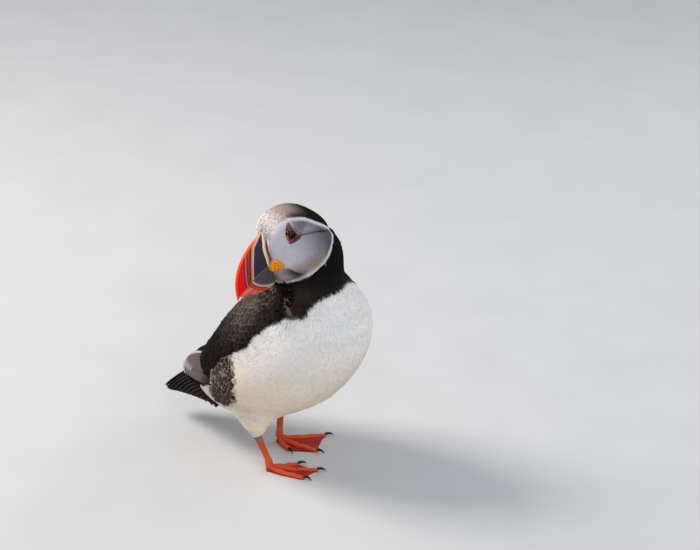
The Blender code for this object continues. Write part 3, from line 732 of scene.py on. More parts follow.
def link(tree, source, output, target, entry):
    """Join two nodes."""
    tree.links.new(source.outputs[output], target.inputs[entry])


def new_material(name, roughness, mirror):
    """A material with a Principled shader of a roughness and a mirror strength."""
    material = bpy.data.materials.new(name)
    material.use_nodes = True
    shader = material.node_tree.nodes["Principled BSDF"]
    shader.inputs["Roughness"].default_value = roughness
    shader.inputs["Specular IOR Level"].default_value = mirror
    return material, material.node_tree, shader


def add_bump(tree, shader, height, strength, distance):
    """A bump from a height value."""
    bump = tree.nodes.new("ShaderNodeBump")
    bump.inputs["Strength"].default_value = strength
    bump.inputs["Distance"].default_value = distance * MM
    tree.links.new(height, bump.inputs["Height"])
    tree.links.new(bump.outputs["Normal"], shader.inputs["Normal"])


def noise_node(tree, size):
    """Noise of a given size in millimetres, over the object's own space."""
    place = tree.nodes.new("ShaderNodeTexCoord")
    noise = tree.nodes.new("ShaderNodeTexNoise")
    noise.inputs["Scale"].default_value = 1 / (size * MM)
    noise.inputs["Detail"].default_value = NOISE_DETAIL
    link(tree, place, "Object", noise, "Vector")
    return noise.outputs["Fac"]


def painted(name, finish):
    """A material with the mesh's own colours, varied a little by noise."""
    roughness, mirror, shade_size, shade, bump_size, bump = FINISHES[finish]
    material, tree, shader = new_material(name, roughness, mirror)
    colour = tree.nodes.new("ShaderNodeAttribute")
    colour.attribute_name = COLOUR_LAYER
    vary = tree.nodes.new("ShaderNodeMix")
    vary.data_type = "RGBA"
    vary.blend_type = "MULTIPLY"
    vary.inputs["Factor"].default_value = 1.0
    ramp = tree.nodes.new("ShaderNodeMapRange")
    ramp.inputs["To Min"].default_value = 1 - shade
    ramp.inputs["To Max"].default_value = 1 + shade
    tree.links.new(noise_node(tree, shade_size), ramp.inputs["Value"])
    tree.links.new(colour.outputs["Color"], vary.inputs["A"])
    tree.links.new(ramp.outputs["Result"], vary.inputs["B"])
    tree.links.new(vary.outputs["Result"], shader.inputs["Base Color"])
    if bump_size:
        add_bump(tree, shader, noise_node(tree, bump_size), bump,
                 bump_size * BUMP_HEIGHT)
    return material


def surface_material(finish):
    """The one material that all pieces of plumage, vanes or skin share."""
    return bpy.data.materials.get(finish) or painted(finish, finish)


def add_piece(name, mesh, material, replaced=()):
    """Put a finished mesh into the scene, riding on the frame's one body."""
    piece = bpy.data.objects.new(name, mesh)
    bpy.context.scene.collection.objects.link(piece)
    mesh.materials.clear()
    mesh.materials.append(material)
    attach(piece, "root")
    if replaced:
        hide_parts(*replaced)


def add_own(name, mesh, colours, finish):
    """A piece in place of the node of its own name, in a material of its own."""
    store_colour(mesh, colours)
    add_piece(name, mesh, painted(name, finish), (name,))


def build_skin():
    """One skin in place of the flesh nodes, inside them by the coat's depth."""
    surface = Surface(skin_mesh())
    surface.even_out()
    depth = coat_depth(surface.points, surface.head, surface.body)
    surface.shift_points(crease_depth(surface.points) * surface.head - depth - CLOSE_GAPS)
    leaning = lean_forward(surface.points)
    surface.points = mix(surface.points, leaning, smooth(0.3, 0.7, surface.head))
    near_bill = smooth(11, 7, base_gap(surface.points)) * surface.head
    near_bill *= smooth(4.5, 7, eye_gap(surface.points))
    smoother = spread(surface.points, surface.edges, BASE_ROUNDS)
    surface.points = mix(surface.points, smoother, near_bill)
    set_points(surface.mesh, surface.points)
    colours = plumage_colour(surface.points, surface.head, surface.body)
    store_colour(surface.mesh, colours * SKIN_SHADE)
    surface.mesh.shade_smooth()
    add_piece("skin", surface.mesh, surface_material("skin"), FLESH)
    return surface


# -------------------------------------------------------------------- studio
VIEW_AZIMUTH = -55.791
VIEW_ELEVATION = 26.293
VIEW_DISTANCE = 1400.0
VIEW_AIM = np.array((2.3, -46.8, 155.5))
VIEW_LENS = 108.0
SENSOR_WIDTH = 36.0
CLIP_START = 0.05
FLOOR_SIZE = 8.0
FLOOR_FINISH = (0.85, 0.2)     # roughness and mirror strength
FLOOR_CLOUDS = 60.0
FLOOR_GREYS = (0.50, 0.56)
SKY = (0.83, 0.88, 1.0, 1)
SKY_STRENGTH = 0.5
LIGHT_AIM = (0, 0, 100)
# Each light's name, place, size in metres, watts and colour.
LIGHTS = (
    ("key", (-300, 900, 1100), 0.5, 19, (1.0, 0.96, 0.9)),
    ("front", (-500, -900, 900), 1.2, 6.5, (1.0, 0.99, 0.97)),
    ("side", (900, -500, 600), 0.8, 4, (0.90, 0.95, 1.0)),
)


def view_axes():
    """The camera's right, up and backward directions."""
    a, e = math.radians(VIEW_AZIMUTH), math.radians(VIEW_ELEVATION)
    back = np.array((math.sin(a) * math.cos(e), -math.cos(a) * math.cos(e), math.sin(e)))
    right = np.array((math.cos(a), math.sin(a), 0.0))
    return right, np.cross(back, right), back


def make_camera():
    """The camera, at the side and height from which the bird is seen."""
    right, up, back = view_axes()
    data = bpy.data.cameras.new("camera")
    data.lens = VIEW_LENS
    data.sensor_width = SENSOR_WIDTH
    data.clip_start = CLIP_START
    camera = bpy.data.objects.new("camera", data)
    bpy.context.scene.collection.objects.link(camera)
    turn = Matrix(np.array((right, up, back)).T.tolist()).to_4x4()
    camera.matrix_world = Matrix.Translation(to_world(VIEW_AIM + back * VIEW_DISTANCE)) @ turn
    bpy.context.scene.camera = camera


def make_light(name, at, size, power, colour):
    """A square soft light, aimed at the bird."""
    data = bpy.data.lights.new(name, "AREA")
    data.size = size
    data.energy = power
    data.color = colour
    light = bpy.data.objects.new(name, data)
    bpy.context.scene.collection.objects.link(light)
    place, target = Vector(to_world(at)), Vector(to_world(LIGHT_AIM))
    light.location = place
    light.rotation_euler = (target - place).to_track_quat("-Z", "Y").to_euler()


def make_studio():
    """A pale floor, a pale sky and soft lights."""
    scene = bpy.context.scene
    scene.view_settings.view_transform = "Standard"
    bpy.ops.mesh.primitive_plane_add(size=FLOOR_SIZE, location=(0, 0, 0))
    floor = bpy.context.object
    floor.name = "floor"
    material, tree, shader = new_material("floor", *FLOOR_FINISH)
    ramp = tree.nodes.new("ShaderNodeValToRGB")
    for stop, grey in zip(ramp.color_ramp.elements, FLOOR_GREYS):
        stop.color = (grey, grey, grey, 1)
    tree.links.new(noise_node(tree, FLOOR_CLOUDS), ramp.inputs["Fac"])
    link(tree, ramp, "Color", shader, "Base Color")
    floor.data.materials.append(material)
    world = bpy.data.worlds.new("studio")
    scene.world = world
    world.use_nodes = True
    background = world.node_tree.nodes["Background"]
    background.inputs["Color"].default_value = SKY
    background.inputs["Strength"].default_value = SKY_STRENGTH
    for light in LIGHTS:
        make_light(*light)


# ----------------------------------------------------------------------- coat
PATCH = 0.003                  # size of a tuft's patch on the bake map


class Roots:
    """Places where tufts and vanes grow, with what the skin stores there."""

    FIELDS = ("points", "normals", "lie", "body", "bend", "head")

    def __init__(self, surface, read):
        for field in self.FIELDS:
            setattr(self, field, read(getattr(surface, field)))
        self.normals = unit(self.normals)
        self.lie = unit(laid_flat(self.lie, self.normals))
        self.bend = self.bend[:, 0]

    def keep(self, chosen):
        """Drop the places that aren't chosen."""
        for field in self.FIELDS:
            setattr(self, field, getattr(self, field)[chosen])
        return self


def inside_triangles(surface, found, shares):
    """Roots inside the skin's triangles, by the share of each corner."""
    corners = surface.triangles[found]

    def read(values):
        weights = shares if values.ndim == 1 else shares[..., None]
        return (values[corners] * weights).sum(1)
    return Roots(surface, read)


def triangles_of(mesh):
    """The corners of a mesh's triangles."""
    mesh.calc_loop_triangles()
    flat = np.empty(len(mesh.loop_triangles) * 3, np.int32)
    mesh.loop_triangles.foreach_get("vertices", flat)
    return flat.reshape(-1, 3)


def scatter(surface, density, seed):
    """Roots over the surface, as many to the square millimetre as asked."""
    draw = np.random.default_rng(seed)
    corners = surface.points[surface.triangles]
    area = np.linalg.norm(np.cross(corners[:, 1] - corners[:, 0],
                                   corners[:, 2] - corners[:, 0]), axis=1) / 2
    middle = inside_triangles(surface, np.arange(len(corners)), np.full((len(corners), 3), 1 / 3))
    total = np.cumsum(area * density(middle))
    count = int(total[-1])
    marks = (np.arange(count) + draw.uniform(size=count)) / count * total[-1]
    found = np.minimum(np.searchsorted(total, marks), len(total) - 1)
    a, b = draw.uniform(size=(2, count))
    over = a + b > 1
    a, b = np.where(over, 1 - a, a), np.where(over, 1 - b, b)
    return inside_triangles(surface, found, np.stack((1 - a - b, a, b), -1))


def unwrap(roots):
    """A flat map of the skin: along the body by around it, or over the head."""
    f, left, up = to_head(roots.points).T
    on_head = roots.head > 0.5
    angle = np.where(on_head, np.arctan2(left, up + 15.0),
                     np.arctan2(roots.body[:, 2], roots.body[:, 1]))
    along = np.where(on_head, (f + 47) / 52, roots.body[:, 0] / BODY_LAST)
    return 0.02 + 0.96 * np.stack((np.clip(along, 0, 1), angle / (2 * math.pi) + 0.5), -1)


def mesh_from(name, points, triangles, normals=None):
    """A mesh of triangles from points in the bird's frame."""
    mesh = bpy.data.meshes.new(name)
    mesh.vertices.add(len(points))
    mesh.loops.add(len(triangles) * 3)
    mesh.polygons.add(len(triangles))
    mesh.vertices.foreach_set("co", to_world(points).astype(np.float32).ravel())
    mesh.loops.foreach_set("vertex_index", triangles.astype(np.int32).ravel())
    mesh.polygons.foreach_set("loop_start", np.arange(0, len(triangles) * 3, 3, dtype=np.int32))
    mesh.update(calc_edges=True)
    mesh.shade_smooth()
    if normals is not None:
        mesh.normals_split_custom_set_from_vertices(normals.astype(np.float32))
    return mesh


def store_map(mesh, triangles, places):
    """The bake map, from a place for each vertex."""
    layer = mesh.uv_layers.new(name="OFBake")
    layer.uv.foreach_set("vector", places[triangles.ravel()].astype(np.float32).ravel())


# A tuft's rows: how far along, its width there and how far it has risen.
TUFT_ALONG = np.array((0.0, 0.38, 0.74, 1.0))
TUFT_WIDTH = np.array((0.55, 1.0, 0.78, 0.0))
TUFT_RISE = np.array((0.0, 0.62, 0.9, 1.0))
ROOT_SINK = 0.25               # how far a tuft's root lies under the skin
ROLL, CURL = 0.35, 0.10        # how much tufts differ in roll and in curl
# Tufts to the square millimetre.
DENSITY = {"face": 13.0, "cap": 7.5, "collar": 4.6, "white": 2.7, "back": 1.6}
# Each kind's full length, width and rise.
TUFT_SIZES = {
    "face": (2.1, 0.36, 0.6),
    "cap": (2.6, 0.42, 0.75),
    "collar": (4.4, 0.5, 1.3),
    "white": (6.8, 0.80, 1.35),
    "back": (5.4, 0.75, 1.2),
}
BELLY_LONGER = 1.2             # how much longer the white tufts are on the belly
COLLAR_START = 7.6             # station where the back gives way to the collar
BREAST_START = 5.6             # station where the belly gives way to the breast
FLECK_AT = (8.6, 82)           # station and angle of the collar's pale fleck


def tuft_faces(count, rows):
    """Triangles of strips that end in a point, two corners to each row."""
    size = 2 * rows + 1
    one = []
    for r in range(rows - 1):
        a = 2 * r
        one += [(a, a + 3, a + 1), (a, a + 2, a + 3)]
    one.append((2 * rows - 1, 2 * rows - 2, 2 * rows))
    return (np.arange(count)[:, None, None] * size + np.array(one)).reshape(-1, 3)


def grow(name, roots, colours, length, width, rise, seed, stray, soft,
         root_shade, tip_shade, vary, uneven=1.0):
    """A coat piece: a thin tuft at each root, lying along the skin.

    length, width and rise are one value for all or one for each root. stray
    is how far the tufts turn from the lie, soft how far their shading follows
    the skin, vary how much their tone differs, and uneven how much they
    differ in rise and roll. root_shade and tip_shade are the tone at the root
    and at the tip: the darker roots are painted shade deep in the coat, and
    the lighter tips of the dark coats are partly their own paler ends.
    """
    draw = np.random.default_rng(seed)
    count = len(roots.points)
    turn = draw.normal(0, stray, count)
    side = np.cross(roots.normals, roots.lie)
    way = roots.lie * np.cos(turn)[:, None] + side * np.sin(turn)[:, None]
    roll = draw.normal(0, ROLL * uneven, count)
    across = np.cross(roots.normals, way)
    across = across * np.cos(roll)[:, None] + roots.normals * np.sin(roll)[:, None]
    length = length * draw.uniform(0.75, 1.2, count)
    rise = rise * (1 - 0.45 * uneven * draw.uniform(0, 1, count))
    curl = draw.normal(0, CURL, count) * length
    half = np.broadcast_to(width, count) / 2
    rows = len(TUFT_ALONG) - 1
    points, normals, shades, map_places = [], [], [], []
    flat_places = unwrap(roots)
    face_normal = unit(np.cross(across, way))
    face_normal *= np.sign((face_normal * roots.normals).sum(1))[:, None]
    shading = unit(mix(face_normal, roots.normals, np.full(count, soft)))
    tone = 1 + draw.normal(0, vary, count)
    for r, (along, wide, risen) in enumerate(zip(TUFT_ALONG, TUFT_WIDTH, TUFT_RISE)):
        run = length * along
        high = rise * risen - ROOT_SINK * (1 - risen) - roots.bend * run**2 / 2
        middle = (roots.points + way * run[:, None] + roots.normals * high[:, None]
                  + side * (curl * along**2)[:, None])
        lean = unit(shading + way * (0.25 - 0.5 * along))
        # Darker towards the root: painted shade deep in the coat.
        shade = tone * (root_shade + (tip_shade - root_shade) * along)
        for k in ((-1, 1) if r < rows else (0,)):
            points.append(middle + across * (k * half * wide)[:, None])
            normals.append(lean)
            shades.append(shade)
            map_places.append(flat_places + PATCH * np.array((k * wide / 2, along - 0.5)))
    points, normals = np.stack(points, 1).reshape(-1, 3), np.stack(normals, 1).reshape(-1, 3)
    shades = np.stack(shades, 1)
    triangles = tuft_faces(count, rows)
    mesh = mesh_from(name, points, triangles, normals)
    store_colour(mesh, (colours[:, None, :] * shades[..., None]).reshape(-1, 3))
    store_map(mesh, triangles, np.clip(np.stack(map_places, 1).reshape(-1, 2), 0, 1))
    add_piece(name, mesh, surface_material("plumage"))


def coat_roots(surface, kind, wanted, seed, edge_size, edge_seed, edge, dressed=None):
    """Roots of one kind of tuft where they are wanted, and their colours. The
    markings' edges are ragged by `edge`, in waves of edge_size."""
    roots = scatter(surface, lambda at: DENSITY[kind] * wanted(at), SEED + seed)
    if dressed:
        roots.keep(dressed(roots.points))
    ragged = waves(roots.points, edge_size, edge_seed) * edge
    return roots, plumage_colour(roots.points, roots.head, roots.body, ragged)


def not_bare(points):
    """Places with a coat: not under the bill's base nor inside the eye's ring."""
    return (base_gap(points) >= 0.2) & (eye_gap(points) >= 3.3)


def coat_face(surface, label, side):
    """Very short dense tufts on one side's face patch."""
    def wanted(at):
        left = to_head(at.points)[:, 1]
        return (face_depth(at.points) > -0.6) & (at.head > 0.02) & (left * side > 0)
    roots, colours = coat_roots(surface, "face", wanted, side, 1.5, 5, 0.4, not_bare)
    short = 0.55 + 0.45 * smooth(0, 5, base_gap(roots.points))
    short *= 0.6 + 0.4 * smooth(0, 3, face_depth(roots.points))
    short *= 0.55 + 0.45 * smooth(3.5, 7, eye_gap(roots.points))
    short *= 0.35 + 0.65 * smooth(0.05, 0.4, roots.head)
    long, wide, high = TUFT_SIZES["face"]
    grow("coat_face_" + label, roots, colours, long * short, wide, high * short,
         SEED + 3, stray=0.12, soft=0.88, root_shade=0.88, tip_shade=1.06, vary=0.04,
         uneven=0.4)


def coat_cap(surface):
    """Short tufts on the crown, nape and forehead."""
    def wanted(at):
        return (face_depth(at.points) < 0.4) & (at.head > 0.3)
    roots, colours = coat_roots(surface, "cap", wanted, 5, 1.5, 5, 0.4, not_bare)
    short = 0.5 + 0.5 * smooth(0, 5, base_gap(roots.points))
    short *= 0.6 + 0.4 * smooth(0, 3, -face_depth(roots.points))
    long, wide, high = TUFT_SIZES["cap"]
    grow("coat_cap", roots, colours, long * short, wide, high * short,
         SEED + 6, stray=0.22, soft=0.65, root_shade=0.62, tip_shade=1.35, vary=0.2)


def fleck_share(roots):
    """The loose pale fleck where the collar meets the wing, on the right side."""
    place, turn = roots.body[:, 0] - FLECK_AT[0], turn_of(roots.body) - FLECK_AT[1]
    near = np.abs(place + 0.03 * turn) / 0.3 + np.abs(turn + 10 * place) / 5
    near = near + 0.6 * waves(roots.points, 1.0, 7)
    return smooth(1.8, 0.4, near) * (roots.body[:, 2] < 0)


def coat_collar(surface):
    """Velvety tufts on the dark neck and collar."""
    def wanted(at):
        off_face = (face_depth(at.points) < -0.4) | (at.head <= 0.02)
        return ((body_edge(at.body) < 1.0) & (at.head <= 0.3) & off_face
                & (at.body[:, 0] > COLLAR_START))
    roots, colours = coat_roots(surface, "collar", wanted, 8, 1.6, 6, 0.35)
    colours = mix(colours, FLECK_PALE, 0.6 * fleck_share(roots))
    short = 0.45 + 0.55 * smooth(0.5, 5, -body_edge(roots.body))
    long, wide, high = TUFT_SIZES["collar"]
    grow("coat_collar", roots, colours, long * short, wide, high * short,
         SEED + 9, stray=0.22, soft=0.7, root_shade=0.75, tip_shade=1.3, vary=0.15)


def coat_white(surface, label, side, part):
    """Fine soft tufts on the white underparts, breast or belly, of one side."""
    def wanted(at):
        on_breast = at.body[:, 0] > BREAST_START
        inside = (body_edge(at.body) > -1.0) & (on_breast == (part == "breast"))
        return inside & (at.body[:, 2] * side > 0) & (at.head <= 0.02)
    seed = 11 + side + (part == "belly") * 3
    roots, colours = coat_roots(surface, "white", wanted, seed, 1.6, 6, 0.35)
    thigh = smooth(56, 32, roots.points[:, 2])
    near_edge = 0.45 + 0.55 * smooth(0.5, 6, body_edge(roots.body))
    long, wide, high = TUFT_SIZES["white"]
    long = long + BELLY_LONGER * smooth(6.5, 4.5, roots.body[:, 0])
    long = long * (1 - 0.45 * thigh) * near_edge
    grow("coat_" + part + "_" + label, roots, colours, long, wide,
         high * (1 - 0.7 * thigh), SEED + 17, stray=0.11, soft=0.95, root_shade=0.95,
         tip_shade=1.01, vary=0.02, uneven=0.2)


def coat_back(surface):
    """Fine dark tufts on back, wings and rump, under the larger feathers."""
    def wanted(at):
        place, depth = at.body[:, 0], body_edge(at.body)
        near_edge = (depth > -5.0) | (place < 1.4)
        return (depth < 1.0) & (place <= COLLAR_START) & (at.head <= 0.3) & near_edge
    roots, colours = coat_roots(surface, "back", wanted, 19, 3.0, 6, 0.5)
    near_edge = 0.5 + 0.5 * smooth(0.5, 5, -body_edge(roots.body))
    long, wide, high = TUFT_SIZES["back"]
    grow("coat_back", roots, colours, long * near_edge, wide, high * near_edge,
         SEED + 20, stray=0.2, soft=0.6, root_shade=0.7, tip_shade=1.4, vary=0.15)


def build_coat(surface):
    """All the fine coat."""
    surface.triangles = triangles_of(surface.mesh)
    for label, side in (("left", 1), ("right", -1)):
        coat_face(surface, label, side)
        for part in ("breast", "belly"):
            coat_white(surface, label, side, part)
    coat_cap(surface)
    coat_collar(surface)
    coat_back(surface)


# ---------------------------------------------------------------------- bill
# Outlines in the head's frame, (forward, up): cubic curves.
CULMEN = ((0, 0), (13, -3.2), (33.5, -13.5), (34.6, -34.3))
GAPE = ((4, -20.2), (13, -21.8), (23, -24.4), (32.6, -31.2))
GONYS = ((4.8, -33.4), (9.5, -40.4), (21, -34), (32.8, -32.2))
BILL_HALF_WIDTH = 7.8
BILL_END = 0.985
# Where the grey plate of each mandible ends and its coloured bands begin.
UPPER_LINE = np.array((
    (3.2, -1.9), (4.8, -3.1), (9.8, -6.6), (13.1, -11.5), (16.1, -16.6), (18.5, -22.0), (19.8, -25.6),
))
LOWER_LINE = np.array((
    (20.6, -23.6), (19.9, -26.0), (18.0, -28.7), (15.2, -31.0), (12.0, -32.5), (8.4, -33.5),
    (3.6, -34.2),
))
# Distance in front of that line, and the linear colour there.
UPPER_BANDS = (
    (-0.5, (0.026, 0.026, 0.040)), (-0.05, (0.012, 0.011, 0.015)), (0.2, (0.10, 0.07, 0.07)),
    (0.45, (0.60, 0.42, 0.41)), (1.0, (0.58, 0.34, 0.29)), (1.45, (0.50, 0.20, 0.10)),
    (2.0, (0.40, 0.12, 0.06)), (2.35, (0.05, 0.010, 0.010)), (2.6, (0.06, 0.012, 0.010)),
    (3.0, (0.36, 0.035, 0.022)), (3.9, (0.42, 0.045, 0.03)), (4.35, (0.12, 0.014, 0.012)),
    (4.7, (0.15, 0.02, 0.018)), (5.0, (0.56, 0.24, 0.22)), (5.35, (0.48, 0.12, 0.12)),
    (5.8, (0.34, 0.006, 0.014)), (6.8, (0.50, 0.006, 0.018)), (7.2, (0.66, 0.035, 0.045)),
    (7.6, (0.62, 0.006, 0.014)), (8.6, (0.80, 0.006, 0.010)), (30.0, (0.86, 0.008, 0.006)),
)
LOWER_BANDS = (
    (-3.0, (0.060, 0.052, 0.060)), (-0.5, (0.085, 0.066, 0.068)), (0.2, (0.20, 0.14, 0.14)),
    (0.6, (0.50, 0.34, 0.31)), (1.5, (0.56, 0.34, 0.28)), (1.95, (0.30, 0.05, 0.03)),
    (2.2, (0.09, 0.014, 0.010)), (2.6, (0.48, 0.045, 0.02)), (3.4, (0.62, 0.07, 0.03)),
    (3.8, (0.20, 0.02, 0.015)), (4.3, (0.62, 0.07, 0.04)), (6.5, (0.60, 0.10, 0.08)),
    (9.0, (0.68, 0.08, 0.05)), (30.0, (0.78, 0.07, 0.03)),
)
# Bright orange-red of the culmen's edge: partly the bill's own colour, partly a painted glow of light
# through the edge.
CULMEN_EDGE_AND_GLOW = np.array((0.95, 0.085, 0.006))
TOMIUM = np.array((0.30, 0.19, 0.10))
GONYS_CREAM = np.array((0.66, 0.44, 0.25))
BARE_SKIN = np.array((0.15, 0.055, 0.045))
RIDGE_CREAM = np.array((0.66, 0.53, 0.37))
RIDGE_PALE = np.array((0.82, 0.72, 0.56))
RIDGE_TAN = np.array((0.33, 0.23, 0.15))
BASE_PALE = np.array((0.62, 0.30, 0.20))
TIP_PALE = np.array((0.78, 0.32, 0.28))
GONYS_RED = np.array((0.86, 0.10, 0.02))
GAPE_SKIN = np.array((0.20, 0.035, 0.025))
# Grooves and ridges across each mandible: how far in front of its line they
# lie, how wide they are and how high (or, for a groove, how deep).
UPPER_CARVING = (
    (2.45, 0.42, -0.34), (4.5, 0.42, -0.28), (5.9, 0.5, -0.14),
    (0.75, 0.6, 0.22), (3.4, 0.7, 0.12), (5.1, 0.35, 0.08),
)
LOWER_CARVING = (
    (2.15, 0.4, -0.30), (3.85, 0.38, -0.24), (6.0, 0.6, -0.12),
    (1.0, 0.65, 0.18), (3.0, 0.5, 0.10), (4.8, 0.6, 0.08),
)
# The ridge's back and front edge along the culmen and gape curves, from the
# culmen down to the gape.
RIDGE_BACK = (-0.03, -0.01, 0.044, 0.066, 0.074, 0.105)
RIDGE_FRONT = (0.022, 0.066, 0.115, 0.136, 0.142, 0.148)
RIDGE_PROUD = 0.62


def band_colour(distance, bands):
    """Colours read from a list of bands at distances."""
    marks = [b[0] for b in bands]
    return np.stack([np.interp(distance, marks, [b[1][k] for b in bands])
                     for k in range(3)], -1)


def carved(distance, carving):
    """Height of the grooves and ridges at distances in front of the line."""
    height = np.zeros(distance.shape)
    for at, wide, high in carving:
        height += high * np.exp(-((distance - at) / wide) ** 2)
    return height


def to_curve(f, u, curve, t):
    """Distance from places on the bill's side to one of its outlines."""
    on_curve = bezier(curve, t)
    return np.hypot(f - on_curve[..., 0], u - on_curve[..., 1])


def bill_half_width(t):
    """The bill's half width, from its base to its tip."""
    return BILL_HALF_WIDTH * (1 - t) ** 0.75 * (1 - 0.1 * t) + 0.75


def bill_side(top, low, half_width, edge, v):
    """Points (forward, left, up) on a mandible's side, v running from its narrow edge."""
    flat = top * (1 - v)[..., None] + low * v[..., None]
    height = np.linalg.norm(top - low, axis=-1)
    near = np.clip(v * height / edge, 0, 1)
    spread_out = (edge * np.sqrt(1 - (1 - near) ** 2)
                  + (half_width - edge) * np.sin(v * math.pi / 2) ** 0.8)
    return np.stack((flat[..., 0], spread_out, flat[..., 1]), -1)


def grid_normals(grid):
    """Normals of a grid of points that lies on the left of its middle plane."""
    normals = unit(np.cross(np.gradient(grid, axis=0), np.gradient(grid, axis=1)))
    return normals * np.sign(normals[..., 1].mean())


def shell_mesh(name, left):
    """A closed mesh from the left half's grid, its first column on the middle."""
    left[:, 0, 1] = 0
    mirrored = left[:, 1:] * (1, -1, 1)
    return ring_mesh(name, from_head(np.concatenate((left[:, ::-1], mirrored), axis=1)))


def ring_faces(rows, sides, closed=False):
    """Triangles round rings of equally many points. The ends are closed by fans,
    or where `closed`, the last ring joins the first."""
    r, s = np.meshgrid(np.arange(rows if closed else rows - 1), np.arange(sides), indexing="ij")
    a, b = r * sides + s, r * sides + (s + 1) % sides
    c, d = (r + 1) % rows * sides + (s + 1) % sides, (r + 1) % rows * sides + s
    faces = [np.stack(corners, -1).reshape(-1, 3) for corners in ((a, b, c), (a, c, d))]
    if not closed:
        fan = np.arange(1, sides - 1)
        first = np.stack((np.zeros_like(fan), fan + 1, fan), -1)
        faces.append(first)
        faces.append(first[:, ::-1] + (rows - 1) * sides)
    return np.concatenate(faces)


def ring_shell(rings, closed=False):
    """Points and triangles of a closed surface through rings, facing out."""
    points = rings.reshape(-1, 3)
    triangles = ring_faces(*rings.shape[:2], closed)
    a, b, c = (points[triangles[:, k]] - points.mean(0) for k in range(3))
    if (a * np.cross(b, c)).sum() < 0:
        triangles = triangles[:, ::-1]
    return points, triangles


def ring_mesh(name, rings, closed=False):
    """A closed mesh through rings of points."""
    return mesh_from(name, *ring_shell(rings, closed))


def upper_grid(t, v):
    """The upper mandible's left side before its grooves."""
    top, low = bezier(CULMEN, t), bezier(GAPE, t)
    return bill_side(top, low, bill_half_width(t), 0.7 + 0.5 * (1 - t), v)


def upper_paint(f, u, t, v):
    """Colour and relief of the upper mandible."""
    flat = np.stack((f, u), -1).reshape(-1, 2)
    ahead = line_distance(flat, UPPER_LINE)[0].reshape(f.shape)
    colour = band_colour(ahead, UPPER_BANDS)
    slate = smooth(0.2, -0.6, ahead)
    streak = waves(np.stack((f * 1.6 + u, u * 0.5), -1), 2.2, 31)
    colour = mix(colour, colour * 1.5, slate * np.clip(0.3 + 0.3 * streak, 0, 1))
    # Along the culmen: partly the bill's own orange-red, partly painted glow of light through it.
    below = to_curve(f, u, CULMEN, t)
    colour = mix(colour, CULMEN_EDGE_AND_GLOW, smooth(1.5, 0.3, below) * smooth(0.03, 0.09, t) * 0.9)
    pale = smooth(0.22, 0.05, t) * smooth(-0.2, 0.6, ahead)
    colour = mix(colour, BASE_PALE, pale * 0.8)
    above = to_curve(f, u, GAPE, t)
    colour = mix(colour, TOMIUM, smooth(0.55, 0.15, above) * smooth(1.0, -0.5, ahead))
    behind = np.interp(v, np.linspace(0, 1, len(RIDGE_BACK)), RIDGE_BACK) - t
    colour = mix(colour, BARE_SKIN, smooth(-0.02, 0.01, behind))
    relief = carved(ahead, UPPER_CARVING)
    relief += 0.10 * smooth(0.2, -1.2, ahead) * np.sin(ahead * 1.7)
    relief -= 0.12 * np.exp(-((ahead + 0.15) / 0.25) ** 2)
    fade = smooth(0.0, 0.05, t) * smooth(1.0, 0.9, t) * smooth(0.0, 0.12, v)
    return colour, relief * fade


def lower_paint(f, u, t, v):
    """Colour and relief of the lower mandible."""
    flat = np.stack((f, u), -1).reshape(-1, 2)
    beyond = line_distance(flat, LOWER_LINE)[0].reshape(f.shape)
    colour = band_colour(beyond, LOWER_BANDS)
    blotch = waves(np.stack((f, u), -1), 2.5, 32)
    colour = mix(colour, colour * 1.35, smooth(0.3, -0.8, beyond) * np.clip(blotch, 0, 1))
    at_base = smooth(15, 8, f) * smooth(0.1, 0.9, beyond)
    colour = mix(colour, GONYS_CREAM, at_base * 0.85)
    fan = np.sin(17.0 * np.arctan2(u + 26, f - 12) + 1.2 * blotch)
    at_tip = smooth(3.9, 5.0, beyond)
    colour = mix(colour, TIP_PALE, at_tip * 0.4 * smooth(-0.2, 0.9, fan))
    from_edge = to_curve(f, u, GONYS, t)
    colour = mix(colour, GONYS_RED, smooth(1.5, 0.4, from_edge) * smooth(10, 14, f) * 0.8)
    above = to_curve(f, u, GAPE, t)
    colour = mix(colour, TOMIUM, smooth(0.5, 0.1, above) * smooth(1.0, -0.5, beyond) * 0.7)
    edge = f - np.interp(u, (-33.3, -25.5, -20), (4.9, 7.3, 7.0))
    colour = mix(colour, GAPE_SKIN, smooth(0.35, -0.1, edge))
    fade = smooth(0.0, 0.05, t) * smooth(1.0, 0.88, t) * smooth(0.0, 0.12, v)
    return colour, carved(beyond, LOWER_CARVING) * fade


def build_mandible(name, grid, paint, last, rows=230, columns=46):
    """One mandible: its side grid, carved and painted, mirrored and closed."""
    t, v = np.meshgrid(np.linspace(0.0, last, rows), np.linspace(0, 1, columns) ** 1.4,
                       indexing="ij")
    left = grid(t, v)
    colour, relief = paint(left[..., 0], left[..., 2], t, v)
    left = left + grid_normals(left) * relief[..., None]
    mesh = shell_mesh(name, left)
    both = np.concatenate((colour[:, ::-1], colour[:, 1:]), axis=1)
    store_colour(mesh, both.reshape(-1, 3))
    return mesh


def lower_grid(t, v):
    """The lower mandible's left side before its grooves, from the gonys up."""
    top = bezier(GONYS, t)
    low = bezier(GAPE, t) - (0, 0.3)
    return bill_side(top, low, bill_half_width(t) * 0.97, 0.8 + 1.0 * (1 - t), v)


